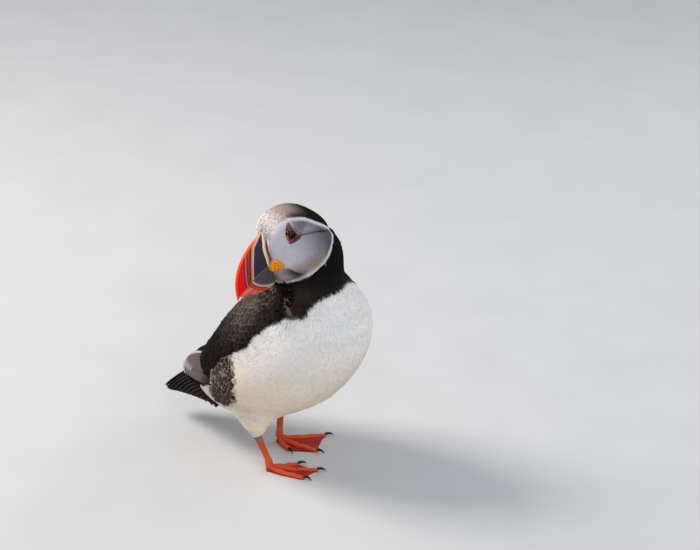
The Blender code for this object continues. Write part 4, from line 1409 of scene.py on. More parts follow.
def build_ridge():
    """The raised cream ridge round the base of the upper mandible."""
    down = np.linspace(1, 0, 70)
    v = np.concatenate((down, down[-2::-1]))
    side = np.concatenate((np.ones(len(down)), -np.ones(len(down) - 1)))
    knots = v * (len(RIDGE_BACK) - 1)
    back, front = curve_through(RIDGE_BACK, knots), curve_through(RIDGE_FRONT, knots)
    arc = np.linspace(0, 1, 13)
    over = np.sin(math.pi * arc) ** 0.6
    under = arc[-2:0:-1]
    across = np.concatenate((arc, under))
    rise = np.concatenate((over, np.full(len(under), -0.6)))
    t = back[:, None] + (front - back)[:, None] * across
    vv = np.repeat(v[:, None], len(across), axis=1)
    points = upper_grid(t, vv)
    nudge = upper_grid(np.maximum(t - 0.004, 0), vv), upper_grid(t + 0.004, vv)
    dip = upper_grid(t, np.maximum(vv - 0.01, 0)), upper_grid(t, np.minimum(vv + 0.01, 1))
    normals = unit(np.cross(nudge[1] - nudge[0], dip[1] - dip[0]))
    normals *= np.sign((normals * (0, 1, 0.35)).sum(-1))[..., None]
    pits = 0.09 * waves(points, 1.1, 33)
    lump = RIDGE_PROUD * rise + np.where(rise > 0.3, pits, 0)
    narrow = smooth(1.02, 0.9, vv)
    points = points + normals * (lump * (0.5 + 0.5 * narrow))[..., None]
    points[..., 1] *= side[:, None]
    mesh = ring_mesh("bill_ridge", from_head(points))
    colour = mix(RIDGE_TAN, RIDGE_CREAM, smooth(0.05, 0.4, across)[None, :].repeat(len(v), 0))
    colour = mix(colour, RIDGE_PALE, smooth(0.5, 0.85, across)[None, :].repeat(len(v), 0) * 0.8)
    # Darker in the pits: painted shade.
    colour = mix(colour, RIDGE_TAN, np.clip(-pits * 6, 0, 0.5))
    store_colour(mesh, colour.reshape(-1, 3))
    return mesh


def build_bill():
    """Both mandibles and the ridge."""
    horn = painted("bill_horn", "bill")
    upper = build_mandible("bill_upper", upper_grid, upper_paint, BILL_END)
    lower = build_mandible("bill_lower", lower_grid, lower_paint, BILL_END - 0.02)
    add_piece("bill_upper", upper, horn, ("bill_upper",))
    add_piece("bill_lower", lower, horn, ("bill_lower",))
    cere = painted("bill_cere", "cere")
    add_piece("bill_ridge", build_ridge(), cere, ("bill_ridge",))


# ------------------------------------------------------- eyes and gape rosettes
# Outlines round the eye's middle, (forward, up).
RING_OUTLINE = np.array((
    (3.6, 0.0), (4.1, -2.2), (3.8, -3.6), (2.4, -3.75), (0.0, -3.5), (-2.4, -3.25), (-4.6, -2.8),
    (-3.9, -1.2), (-3.5, 0.6), (-3.2, 2.6), (-2.6, 4.6), (-1.7, 4.3), (-0.6, 3.5), (1.0, 3.3),
    (2.2, 2.7), (3.1, 1.5),
))
HORN_OUTLINE = np.array((
    (1.7, 3.3), (1.2, 4.9), (-0.6, 6.7), (-2.3, 7.4), (-2.5, 5.8), (-1.7, 4.4), (-0.5, 3.6),
))
BAR_OUTLINE = np.array((
    (4.1, -3.9), (3.5, -5.1), (0.7, -5.5), (-3.3, -5.0), (-5.3, -3.6), (-4.6, -3.1), (-0.6, -3.8),
    (2.5, -4.1),
))
ROSETTE_OUTLINE = np.array((
    (4.9, -17.9), (2.4, -18.1), (0.8, -19.6), (-0.4, -22.0), (-0.6, -24.1), (0.5, -25.5),
    (3.2, -25.8), (5.6, -25.6), (7.6, -24.4), (8.3, -22.3), (7.0, -19.9),
))
RING_RED = np.array((0.68, 0.045, 0.020))
RING_DEEP = np.array((0.050, 0.009, 0.007))
HORN_GREY = np.array((0.048, 0.050, 0.062))
HORN_DARK = np.array((0.010, 0.010, 0.012))
ROSETTE_ORANGE = np.array((0.80, 0.31, 0.006))
# Painted shade for the rosette's fold hollows and edge.
ROSETTE_SHADOW = np.array((0.30, 0.055, 0.004))
PUPIL = np.array((0.001, 0.001, 0.001))
IRIS = np.array((0.024, 0.011, 0.007))
IRIS_RIM = np.array((0.008, 0.005, 0.004))
PUPIL_RADIUS = 1.55
BALL_RINGS, BALL_SIDES = 60, 64
RING_HOLE = 2.62               # the ring's inner radius, just inside the ball's edge
RING_UNDER, RING_SUNK = 2.4, 1.0    # radius and depth of the ring's hidden inner edge
# Layers of the ring, from its hole to its edge, and of the horny plates, from
# their edge to their middle: the share of the way, and the height.
RING_LAYERS = ((0.0, 0.2), (0.02, 0.75), (0.12, 1.0), (0.3, 0.95), (0.5, 0.7), (0.75, 0.5),
               (0.92, 0.3), (1.0, -0.1), (1.0, -1.2))
PLATE_LAYERS = ((1.0, -0.8), (1.0, 0.1), (0.97, 0.45), (0.86, 0.75), (0.68, 0.95), (0.45, 1.05),
                (0.2, 1.1), (0.02, 1.1))
PLATE_SHADES = (0, 0.0, 0.0, 0.25, 0.85, 1.0, 1.0, 1.0)
ROSETTE_RINGS = 34
ROSETTE_DOME = 1.7
ROSETTE_OUT = 8.6              # how far out the bill's side lies under it
ROSETTE_REACH = (-1.6, 6.5)    # from the cheek forward to the bill
FOLD_DEPTH = 0.26


def head_side(forward, up):
    """How far out the head's side lies at places on its profile."""
    place = head_place(forward, up)
    rows = at_station(HEAD_STATIONS, place)
    middle, half = (rows[..., 1] + rows[..., 2]) / 2, (rows[..., 1] - rows[..., 2]) / 2
    level = np.clip((up - middle) / half, -0.99, 0.99)
    power = 1 - HEAD_SQUARE * np.clip((place - 4) / 3, 0, 1)
    across = level
    for _ in range(6):
        aside = (1 - np.abs(across) ** (2 / power)) ** (power / 2)
        across = np.clip(level + HEAD_SAG * aside**2, -0.99, 0.99)
    return rows[..., 3] * aside


def on_side(flat, side, height):
    """Points at a height over the head's side, in the head's frame."""
    return np.stack((flat[:, 0], side * (head_side(*flat.T) + height), flat[:, 1]), -1)


def build_eyeball(label, side):
    """The eye, dark brown round a black pupil."""
    f, u = EYE_AT
    centre = np.array((f + BALL_AHEAD, head_side(f, u) - EYE_RADIUS + EYE_SHOWS, u))
    a = np.linspace(0.02, math.pi - 0.02, BALL_RINGS)[:, None]
    b = np.linspace(0, 2 * math.pi, BALL_SIDES, endpoint=False)
    away = np.stack((np.sin(a) * np.cos(b), np.cos(a) + 0 * b, np.sin(a) * np.sin(b)), -1)
    ball = ring_mesh("eye_" + label, from_head((centre + EYE_RADIUS * away) * (1, side, 1)))
    off_axis = np.repeat(a, BALL_SIDES) * EYE_RADIUS
    iris = mix(IRIS, IRIS_RIM, smooth(2.2, 3.0, off_axis))
    in_iris = smooth(PUPIL_RADIUS - 0.1, PUPIL_RADIUS + 0.1, off_axis)
    add_own("eye_" + label, ball, mix(PUPIL, iris, in_iris), "eye")


def build_eye_ring(label, side):
    """The fleshy red ring round the eye, a closed band with a pebbled top."""
    surface = head_side(*EYE_AT)
    outline = rounded(RING_OUTLINE, 8)
    hole = np.array((BALL_AHEAD, 0.0))
    inner = unit(outline - hole)
    rings = []
    for share, lift in RING_LAYERS:
        flat = (hole + inner * RING_HOLE) * (1 - share) + outline * share
        pebbles = 0.07 * waves(flat, 0.7, 41) * math.sin(math.pi * share)
        rings.append(on_side(flat + EYE_AT, side, lift + pebbles))
    under = hole + inner * RING_UNDER + EYE_AT
    level = np.full(len(inner), side * (surface - RING_SUNK))
    rings.append(np.stack((under[:, 0], level, under[:, 1]), -1))
    name = "eye_ring_" + label
    ring = ring_mesh(name, from_head(np.array(rings)), closed=True)
    shares = np.array([share for share, _ in RING_LAYERS] + [0.0])
    wide = np.linalg.norm(outline - hole - inner * RING_HOLE, axis=1)
    to_edge = (wide[None] * (1 - shares[:, None])).ravel()
    colours = mix(RING_DEEP, RING_RED, smooth(0.95, 0.45, to_edge))
    colours = colours * smooth(-0.25, 0.25, to_edge)[:, None]
    add_own(name, ring, colours, "eye_ring")


def build_plate(name, shape, side):
    """A domed horny plate on the head's side, dark at its edge."""
    edge = rounded(shape, 6) + EYE_AT
    middle = edge.mean(axis=0)
    rings = [on_side(middle + (edge - middle) * share, side, lift)
             for share, lift in PLATE_LAYERS]
    mesh = ring_mesh(name, from_head(np.array(rings)))
    colours = mix(HORN_DARK, HORN_GREY, np.repeat(PLATE_SHADES, len(edge)))
    add_own(name, mesh, colours, "plate")


def build_eye(label, side):
    """The eyeball, the ring round it and the plates above and below it."""
    build_eyeball(label, side)
    build_eye_ring(label, side)
    build_plate("eye_horn_" + label, HORN_OUTLINE, side)
    build_plate("eye_bar_" + label, BAR_OUTLINE, side)


def build_rosette(label, side):
    """The folded rosette of bare skin at the corner of the gape."""
    edge = rounded(ROSETTE_OUTLINE, 8)
    middle = edge.mean(axis=0)
    rings, shades = [], []
    for share in np.concatenate(((1.0,), np.linspace(1.0, 0.01, ROSETTE_RINGS))):
        flat = middle + (edge - middle) * share
        angle = np.arctan2(flat[:, 1] - middle[1], flat[:, 0] - middle[0])
        folds = np.sin(share * 13.0 + 1.1 * np.sin(3 * angle) + 1.3 * waves(flat, 3.0, 51))
        folds += 0.5 * waves(flat, 1.3, 52)
        dome = ROSETTE_DOME * math.sqrt(1 - share**2) ** 0.8
        rear, front = ROSETTE_REACH
        cheek = 0.94 * head_side(np.full(len(flat), rear), flat[:, 1])
        level = ROSETTE_OUT + (cheek - ROSETTE_OUT) * smooth(front, rear, flat[:, 0])
        relief = FOLD_DEPTH * folds * math.sin(math.pi * min(1.0, share + 0.15))
        depth = level - 0.2 + dome + relief
        if not rings:
            depth = level - 2.0
        rings.append(np.stack((flat[:, 0], side * depth, flat[:, 1]), -1))
        # Darker in the folds' hollows and towards the edge: painted shade.
        lit = 0.35 + 0.65 * smooth(-1.0, -0.2, folds)
        shades.append(lit * (0.35 + 0.65 * smooth(1.0, 0.9, share)))
    mesh = ring_mesh("rosette_" + label, from_head(np.array(rings)))
    colours = mix(ROSETTE_SHADOW, ROSETTE_ORANGE, np.array(shades).ravel())
    add_own("rosette_" + label, mesh, colours, "rosette")


# ------------------------------------------------------------ legs and feet
TARSUS_RADIUS = 2.5
ANKLE_TOP = 5.0
HEEL_RADIUS = 2.9
TOE_ROOT_SPREAD = 1.9
TOE_HALF_WIDTH = 2.1
TOE_HEIGHT = 3.4
WEB_THICK = 0.9
WEB_HOLLOW = 0.05
CLAW_LENGTH = 5.2
CLAW_RADIUS = 1.1
CLAW_SIDES = 18
CLAW_ROWS = 34
CLAW_TURN = 1.45               # how far the claw hooks, in radians
SCUTE = 1.25                   # from one plate of the skin to the next
TOE_NAMES = ("inner", "middle", "outer")
TOE_COLUMNS, WEB_COLUMNS = 15, 24
TARSUS_ROWS, TARSUS_SIDES = 110, 44
TARSUS_STOPS = (-0.12, 0, 0.35, 0.75, 1.0)     # down the shank, from knee to ankle
TARSUS_SIZES = (1.2, 1.3, 1.05, 0.98, 1.12, 1.22, 0.9)
TOE_RED = np.array((0.66, 0.085, 0.030))
WEB_RED = np.array((0.42, 0.022, 0.010))
LEG_ORANGE = np.array((0.50, 0.080, 0.014))
LEG_GREY = np.array((0.17, 0.15, 0.16))
SKIN_GROOVE = np.array((0.16, 0.016, 0.008))
CLAW_BLACK = np.array((0.005, 0.005, 0.005))
CLAW_ROOT = np.array((0.055, 0.048, 0.048))


def foot_frame(leg):
    """The heel, the foot's forward direction and the way to its outer toe."""
    heel = np.array(leg["heel"], float)
    runs = [np.array(t, float) - heel for t in leg["toes"]]
    forward = unit(sum(unit(r) for r in runs))
    across = np.array((forward[1], -forward[0]))
    if np.dot(across, runs[2] - runs[0]) < 0:
        across = -across
    return heel, forward, across


def round_end(u, start):
    """1 up to a start, then a quarter circle down to 0 at the end."""
    return math.sqrt(max(0.0, 1 - (max(0.0, u - start) / (1 - start)) ** 2))


def foot_row(leg, u, seed):
    """One row across the foot's upper side, toes and the webs between them:
    its places, its heights, and for each place how far up the toe's round it
    lies (below 0 in a web's creases) and how far along the toe."""
    heel, _, across = foot_frame(leg)
    rise = max(0.0, 1 - u / 0.35) ** 1.5
    web_top = WEB_THICK + (ANKLE_TOP - 1.2 - WEB_THICK) * rise
    knuckle = 1 + 0.10 * math.cos(u * 6 * math.pi)
    toe_top = TOE_HEIGHT * knuckle * (1 - 0.35 * u) * (1 - rise) + ANKLE_TOP * rise
    end = round_end(u, 0.90)
    width = TOE_HALF_WIDTH * (1 - 0.25 * u) * min(1.0, 0.4 + 1.5 * u) * (0.35 + 0.65 * end)
    roots = [heel + across * TOE_ROOT_SPREAD * k for k in (-1, 0, 1)]
    ends = [np.array(t, float) for t in leg["toes"]]
    offsets = np.sin(np.linspace(-1, 1, TOE_COLUMNS) * math.pi / 2)
    circle = np.sqrt(1 - offsets**2)
    height = np.maximum(toe_top * (0.40 + 0.60 * circle), web_top) * (0.02 + 0.98 * end)
    shares = np.linspace(0, 1, WEB_COLUMNS + 2)[1:-1]
    spots, kinds = [], []
    for root, tip in zip(roots, ends):
        turned = unit((tip - root)[::-1] * (1, -1))
        turned = turned * math.copysign(1, np.dot(turned, across))
        spots.append(root + (tip - root) * u + turned * width * offsets[:, None])
        reached = np.full(TOE_COLUMNS, u * np.linalg.norm(tip - root))
        kinds.append(np.stack((circle, reached), -1))
    columns, tops, marks = [spots[0]], [height], [kinds[0]]
    for i in range(2):
        near, far = spots[i][-1], spots[i + 1][0]
        web = near + (far - near) * shares[:, None]
        web = heel + (web - heel) * (1 - WEB_HOLLOW * u**4)
        fold = np.sin(shares * (9 + 3 * i) + 2.5 * waves(web, 14, seed + i))
        fine = waves(web, 2.6, seed + 4 + i)
        belly = np.sin(math.pi * shares)
        web_height = web_top + smooth(0.12, 0.4, u) * belly * (0.30 * fold + 0.12 * fine)
        web_height = web_height * round_end(u, 0.97)
        columns += [web, spots[i + 1]]
        tops += [np.maximum(web_height, 0.03), height]
        marks += [np.stack((-0.5 + 0.5 * fold, np.full(WEB_COLUMNS, u * 30)), -1), kinds[i + 1]]
    return np.concatenate(columns), np.concatenate(tops), np.concatenate(marks)


def build_foot(label):
    """A webbed foot: plated toes, creased webs and a flat sole on the floor."""
    leg = LEGS[label]
    heel, forward, across = foot_frame(leg)
    seed = 60 + len(label)
    rings = []
    first, first_top, first_mark = foot_row(leg, 0.0, seed)
    across_share = (first - heel) @ across / (TOE_ROOT_SPREAD + TOE_HALF_WIDTH * 0.4)
    for a in np.linspace(0, math.pi / 2, 12)[:-1]:
        back = HEEL_RADIUS * math.cos(a) * np.sqrt(np.maximum(0.05, 1 - 0.8 * across_share**2))
        inwards = across_share * 0.4 * math.cos(a)
        spots = first - forward * back[:, None] - across * inwards[:, None]
        tops = first_top * (0.25 + 0.75 * math.sin(a) ** 0.6)
        rings.append((spots, tops, first_mark * (1, 0) - (0, back.mean())))
    for u in np.concatenate((np.linspace(0, 0.9, 84)[:-1], np.linspace(0.9, 1.0, 22))):
        rings.append(foot_row(leg, u, seed))
    points, paint = [], []
    for spots, tops, marks in rings:
        toe = smooth(0.0, 0.25, marks[:, 0])
        plate = np.abs(np.sin(math.pi * marks[:, 1] / SCUTE))
        groove = (1 - smooth(0.0, 0.42, plate)) * smooth(0.35, 0.7, marks[:, 0])
        net = waves(spots, 1.1, seed + 9)
        relief = -0.13 * groove + 0.05 * net * np.minimum(1, tops)
        relief = np.where(tops > 0.5, relief, 0)
        upper = np.concatenate((spots, (tops + relief)[:, None]), 1)
        sole = spots[::-6]
        lower = np.concatenate((sole, np.zeros((len(sole), 1))), 1)
        points.append(np.concatenate((upper, lower)))
        # Darker in the webs' creases: painted shade.
        crease = np.clip(-marks[:, 0], 0, 1) * (1 - toe)
        colour = mix(WEB_RED, TOE_RED, toe)
        colour = mix(colour, WEB_RED * 0.6, np.clip(crease * 0.8, 0, 1))
        colour = mix(colour, SKIN_GROOVE, groove * 0.55)
        colour = colour * (1 + 0.12 * net)[:, None]
        paint.append(np.concatenate((colour, np.full((len(lower), 3), WEB_RED))))
    mesh = ring_mesh("foot_" + label, np.array(points))
    add_own("foot_" + label, mesh, np.concatenate(paint), "foot")


def tube(path, radii, sides, flatten=1.0):
    """Rings round a path, and the way out at each of their points. flatten
    makes them narrower across than fore and aft."""
    run = unit(np.gradient(path, axis=0))
    across = unit(np.cross(run, (0, 1, 0)))
    fore = np.cross(across, run)
    a = np.linspace(0, 2 * math.pi, sides, endpoint=False)
    turned = (flatten * np.cos(a)[None, :, None] * across[:, None]
              + np.sin(a)[None, :, None] * fore[:, None])
    return path[:, None] + radii[:, None, None] * turned, turned


def build_tarsus(label):
    """The shank: plates down its front, a fine net behind, grey at the top."""
    leg = LEGS[label]
    heel, forward, _ = foot_frame(leg)
    knee = np.array(leg["knee"], float)
    ankle = np.array((*(heel - forward * 0.6), ANKLE_TOP + 0.4))
    bend = ankle + np.array((0, 0, 2.2))
    into = np.array((*(heel + forward * 0.5), 1.6))
    stops = np.array([knee + (bend - knee) * t for t in TARSUS_STOPS] + [ankle, into])
    places = np.linspace(0, len(stops) - 1, TARSUS_ROWS)
    path = at_station(stops, places)
    radii = TARSUS_RADIUS * curve_through(TARSUS_SIZES, places)
    rings, turned = tube(path, radii, TARSUS_SIDES, 0.8)
    level = np.concatenate(((0,), np.cumsum(np.linalg.norm(np.diff(path, axis=0), axis=1))))
    front = smooth(0.1, 0.5, turned[..., :2] @ forward)
    plate = np.abs(np.sin(math.pi * level / (SCUTE * 1.25)))[:, None]
    groove = (1 - smooth(0.0, 0.35, plate)) * front
    net = waves(rings, 1.5, 71)
    pebble = waves(rings, 0.9, 72)
    relief = -0.13 * groove + 0.06 * pebble * (1 - front) + 0.03 * net
    rings = rings + turned * relief[..., None]
    down = np.broadcast_to(level[:, None] / level[-1], front.shape)
    colour = mix(LEG_ORANGE, TOE_RED, smooth(0.3, 0.95, down))
    colour = mix(LEG_GREY, colour, smooth(0.10, 0.24, down + 0.03 * net))
    colour = mix(colour, SKIN_GROOVE, groove * 0.5 * smooth(0.15, 0.3, down))
    colour = colour * (1 + 0.10 * pebble)[..., None]
    mesh = ring_mesh("tarsus_" + label, rings)
    add_own("tarsus_" + label, mesh, colour.reshape(-1, 3), "tarsus")


def build_claws(label):
    """Three hooked claws, grey where they leave the toe."""
    leg = LEGS[label]
    for toe_name, toe in zip(TOE_NAMES, leg["toes"]):
        flat = unit(np.subtract(toe, leg["heel"]))
        t = np.linspace(0, 1, CLAW_ROWS)
        radii = CLAW_RADIUS * (1 - 0.97 * t**1.3) * (0.8 + 0.2 * smooth(0, 0.1, t))
        reach = CLAW_LENGTH * 0.98 * (np.sin(t * CLAW_TURN) / math.sin(CLAW_TURN)) - 1.1 * (1 - t)
        height = 1.75 * (1 - t**2.4) + 0.55 * np.sin(math.pi * t) + radii * 0.3
        start = np.array(toe, float) + flat * 0.4
        path = np.concatenate((start + flat * reach[:, None], height[:, None]), 1)
        rings, _ = tube(path, radii, CLAW_SIDES)
        rings[..., 2] = np.maximum(rings[..., 2], 0.02)
        name = "claw_" + toe_name + "_" + label
        mesh = ring_mesh(name, rings)
        shade = smooth(0.32, 0.10, t + 0.04 * np.sin(t * 40))
        colours = np.repeat(mix(CLAW_BLACK, CLAW_ROOT, shade), CLAW_SIDES, axis=0)
        add_own(name, mesh, colours, "claw")


# ------------------------------------------------------------ larger feathers
VANE_ROWS, VANE_COLUMNS = 9, 7
VANE_STATIONS = (1, 3, 5, 8, 9.3)
VANE_LENGTHS = (13, 14, 11.5, 7.5, 5.5)
VANE_WIDTHS = (6.0, 6.2, 5.4, 4.2, 3.6)
VANE_CELL = 0.010              # size of a vane's patch on the bake map
FLANK_LENGTH, FLANK_WIDTH = 4.6, 4.5
PRIMARY_ROOT = np.array((27.0, 46, 67))
PRIMARY_TIP = np.array((7.0, 94.5, 49.5))
PRIMARY_BOW = 3.4
PRIMARY_LEAN = 34
# Grey-brown towards the tips: partly worn colour, partly painted sheen. The pale rim is a painted
# highlight.
PRIMARY_GREY = np.array((0.105, 0.088, 0.083))
PRIMARY_DARK = np.array((0.020, 0.016, 0.015))
PRIMARY_RIM_HIGHLIGHT = np.array((0.56, 0.50, 0.49))
PRIMARY_HALF_WIDTH = 10.5
PRIMARY_COUNT = 6
PRIMARY_STEP = 0.085           # how much shorter each primary is than the one above
# Where the tail's feathers start and end, from the middle one outwards.
TAIL_ROOTS = np.array(((0, 66, 59), (7, 64, 57), (12, 60, 53), (16, 55, 47), (18, 49, 41)), float)
TAIL_TIPS = np.array((
    (0, 115.3, 22.5), (6, 108, 24), (11, 95, 28.5), (15.5, 80, 32), (18.5, 62, 33.5),
), float)
TAIL_BOW = 3.0
TAIL_HALF_WIDTH = 6.0
TAIL_FEATHERS = 12             # on each side of the middle pair
TAIL_SLANT_LIMIT = 2.8
BLADE_THICK = 0.35
TAIL_GRID, PRIMARY_GRID = (46, 13), (52, 15)    # rows and columns of each feather
TAIL_DARK = np.array((0.022, 0.018, 0.018))
TAIL_EDGE = np.array((0.040, 0.032, 0.030))
TAIL_TIP = np.array((0.17, 0.125, 0.115))
WING_BLACK = np.array((0.0055, 0.0040, 0.0036))
WING_EDGE = np.array((0.0150, 0.0105, 0.0085))
# The mantle's brown and its feathers' paler edges: partly worn brown, partly painted sunlit sheen.
MANTLE_BROWN_AND_SHEEN = np.array((0.078, 0.057, 0.050))
MANTLE_EDGE_AND_SHEEN = np.array((0.25, 0.188, 0.163))


def vane_outline(t):
    """A vane's half width along it, from its root to its rounded tip."""
    start = np.sqrt(np.clip(t / 0.35, 0, 1))
    over = np.clip((t - 0.5) / 0.5, 0, 1)
    return (0.35 + 0.65 * start) * (1 - over**2.6) ** 0.5


def lay_vanes(name, tree, at, length, width, colour, edge, seed, lift=(0.3, 1.5),
              rim_from=0.72):
    """Larger feathers, each a cambered vane that follows the skin and lifts
    towards its tip. colour and edge hold one linear colour for each feather,
    and rim_from is where the edge's colour begins, as a share of the vane."""
    draw = np.random.default_rng(seed)
    count = len(at.points)
    twist = draw.normal(0, 0.09, count)
    side = np.cross(at.normals, at.lie)
    way = at.lie * np.cos(twist)[:, None] + side * np.sin(twist)[:, None]
    side = np.cross(at.normals, way)
    t, c = np.meshgrid(np.linspace(0, 1, VANE_ROWS), np.linspace(-1, 1, VANE_COLUMNS),
                       indexing="ij")
    fringe = 1 + draw.normal(0, 0.05, (count, 1, VANE_COLUMNS)) * t**3
    run = length[:, None, None] * t * fringe
    half = width[:, None, None] / 2 * vane_outline(t)
    flat = (at.points[:, None, None] + way[:, None, None] * run[..., None]
            + side[:, None, None] * (half * c)[..., None])
    tips = draw.uniform(0.75, 1.15, (count, 1, 1))
    high = lift[0] + (lift[1] - lift[0]) * tips * t**1.2 + 0.25 * (1 - c**2) - 0.1
    points = np.empty_like(flat).reshape(-1, 3)
    for i, spot in enumerate(flat.reshape(-1, 3)):
        near, normal = tree.find_nearest(spot.tolist())[:2]
        points[i] = np.array(near) + np.array(normal) * high.ravel()[i]
    at_side = smooth(rim_from, 1.0, np.abs(c)) * smooth(0.2, 0.5, t)
    rim = np.maximum(smooth(rim_from, 0.98, t), 0.75 * at_side)
    barbs = np.sin(2 * math.pi * (t * 9 - np.abs(c) * 2.2) + draw.uniform(0, 6, (count, 1, 1)))
    share = np.clip(rim * (1 + 0.35 * barbs), 0, 1)
    paint = (colour[:, None, None] * (1 - share[..., None]) + edge[:, None, None] * share[..., None])
    paint = paint * (1 + 0.10 * barbs - 0.35 * (np.abs(c) < 0.1) * (t < 0.9))[..., None]
    paint = paint * draw.normal(1, 0.09, (count, 1, 1, 1)).clip(0.7, 1.3)
    grid = np.arange(VANE_ROWS * VANE_COLUMNS).reshape(VANE_ROWS, VANE_COLUMNS)
    a, b = grid[:-1, :-1].ravel(), grid[:-1, 1:].ravel()
    d, e = grid[1:, 1:].ravel(), grid[1:, :-1].ravel()
    one = np.concatenate((np.stack((a, b, d), -1), np.stack((a, d, e), -1)))
    triangles = (np.arange(count)[:, None, None] * grid.size + one).reshape(-1, 3)
    corner = points[triangles[0]]
    facing = np.cross(corner[1] - corner[0], corner[2] - corner[0]) @ at.normals[0]
    if facing < 0:
        triangles = triangles[:, ::-1]
    mesh = mesh_from(name, points, triangles)
    store_colour(mesh, paint.reshape(-1, 3))
    places = unwrap(at)[:, None, None] + VANE_CELL * np.stack((t - 0.5, c / 2), -1)
    store_map(mesh, triangles, np.clip(places.reshape(-1, 2), 0, 1))
    add_piece(name, mesh, surface_material("vanes"))


def staggered(surface, low, high, step, gap, seed, wanted):
    """Roots in staggered rows over the trunk, `step` apart along it and `gap`
    apart round it, in millimetres, where `wanted` holds."""
    draw = np.random.default_rng(seed)
    flat = np.stack((surface.body[:, 0] * STATION_SPAN,
                     np.sign(surface.body[:, 2]) * turn_of(surface.body) * DEGREE_SPAN), -1)
    index = np.flatnonzero(surface.head < 0.3)
    flat = flat[index]
    chosen = []
    for row, along in enumerate(np.arange(low * STATION_SPAN, high * STATION_SPAN, step)):
        band = np.flatnonzero(np.abs(flat[:, 0] - along) < 3.0)
        for around in np.arange(-110, 110, gap) + gap / 2 * (row % 2):
            aim = np.array((along, around)) + draw.normal(0, 0.16, 2) * (step, gap)
            away = ((flat[band] - aim) ** 2).sum(1)
            if len(away) and away.min() < 2.0:
                chosen.append(index[band[away.argmin()]])
    chosen = np.unique(np.array(chosen))
    at = Roots(surface, lambda values: values[chosen])
    return at.keep(wanted(at))


def under_vanes(at):
    """Where the mantle's and wings' feathers grow: none reaches over the white."""
    tip = at.body - (0.5, 0, 0)
    return (body_edge(at.body) < -1.2) & (body_edge(tip) < 0.6) & (turn_of(at.body) < 96)


def build_vanes(surface):
    """The mantle's, back's and wings' feathers and the flanks' ruffled ones."""
    tree = BVHTree.FromPolygons(surface.points.tolist(), surface.triangles.tolist())
    at = staggered(surface, 1.2, 9.3, 3.2, 3.2, SEED + 31, under_vanes)
    place = at.body[:, 0]
    length = np.interp(place, VANE_STATIONS, VANE_LENGTHS)
    width = np.interp(place, VANE_STATIONS, VANE_WIDTHS)
    # Brown on the mantle: partly the feathers' own, partly painted sheen.
    brown = smooth(4.2, 7.4, place) * smooth(72, 34, turn_of(at.body))
    brown = np.clip(brown * (1 + 0.4 * waves(at.points, 16, 81)), 0, 1)
    colour = mix(WING_BLACK, MANTLE_BROWN_AND_SHEEN, brown)
    edge = mix(WING_EDGE, MANTLE_EDGE_AND_SHEEN, brown)
    for label, side in (("left", 1), ("right", -1)):
        mine = (at.body[:, 2] > 0) == (side > 0)
        half = copy.copy(at).keep(mine)
        lay_vanes("vanes_back_" + label, tree, half, length[mine], width[mine], colour[mine],
                  edge[mine], SEED + 32)
    at = staggered(surface, 2.2, 6.0, 1.7, 2.9, SEED + 35,
                   lambda at: (mottle_share(at.body) > 0.5) & (body_edge(at.body) > 0.2))
    share = np.clip(mottle_share(at.body) + 0.12 * waves(at.points, 7, 82), 0, 1)
    ground = body_colour(at.points, at.body, 2.0)
    colour = mix(ground * 0.9, MOTTLE_DARK, smooth(0.45, 0.85, share))
    edge = mix(ground, MOTTLE_PALE, smooth(0.4, 0.9, share))
    same = np.ones(len(share))
    lay_vanes("vanes_flank", tree, at, FLANK_LENGTH * same, FLANK_WIDTH * same, colour, edge,
              SEED + 36, lift=(0.9, 1.9), rim_from=0.84)


def blade(grid, root, tip, across, out, half_width, bow, outline, slant=0.0, reach=1.0):
    """A long feather as a closed thin shell: its rings of points and, for
    each, how far along and across the feather it lies. slant carries the tip
    on along one edge, by that many millimetres for each across, and reach is
    how much of the bow the feather spans."""
    rows, columns = grid
    t = np.linspace(0, 1, rows)
    c = np.linspace(-1, 1, columns)
    run = tip - root
    middle = root + run * t[:, None] + out * (bow * np.sin(math.pi * reach * t))[:, None]
    half = half_width * outline(t)
    carried = slant * half[:, None] * c * t[:, None] ** 3
    upper = (middle[:, None] + across * (half[:, None] * c)[..., None]
             + unit(run) * carried[..., None] + out * (0.6 * (1 - c**2))[None, :, None])
    edge = 0.15 + 0.85 * (1 - np.abs(c) ** 3)
    under = upper - out * (BLADE_THICK * edge)[None, :, None]
    rings = np.concatenate((upper, under[:, ::-1]), axis=1)
    along = np.repeat(t[:, None], 2 * columns, axis=1)
    over = np.repeat(np.concatenate((c, c[::-1]))[None], rows, axis=0)
    return rings, along, over


def join_shells(name, shells):
    """One mesh from several closed shells of rings, with their colours."""
    points, faces, paints, start = [], [], [], 0
    for rings, paint in shells:
        spots, triangles = ring_shell(rings)
        points.append(spots)
        faces.append(triangles + start)
        paints.append(paint.reshape(-1, 3))
        start += len(spots)
    mesh = mesh_from(name, np.concatenate(points), np.concatenate(faces))
    store_colour(mesh, np.concatenate(paints))
    return mesh


def barb_shade(along, over, seed):
    """Fine streaks that run out from a feather's shaft."""
    shift = np.random.default_rng(seed).uniform(0, 6)
    streaks = np.sin(along * 90 - np.abs(over) * 12 + shift) * 0.5
    streaks += np.sin(along * 37 - np.abs(over) * 7 + 2 * shift) * 0.5
    return 1 + 0.12 * streaks - 0.3 * (np.abs(over) < 0.09)


def tail_outline(t):
    """A tail feather's half width along it: broad almost to its blunt tip."""
    start = np.sqrt(np.clip(t / 0.35, 0, 1))
    over = np.clip((t - 0.80) / 0.20, 0, 1)
    return (0.4 + 0.6 * start) * (1 - over**2) ** 0.5


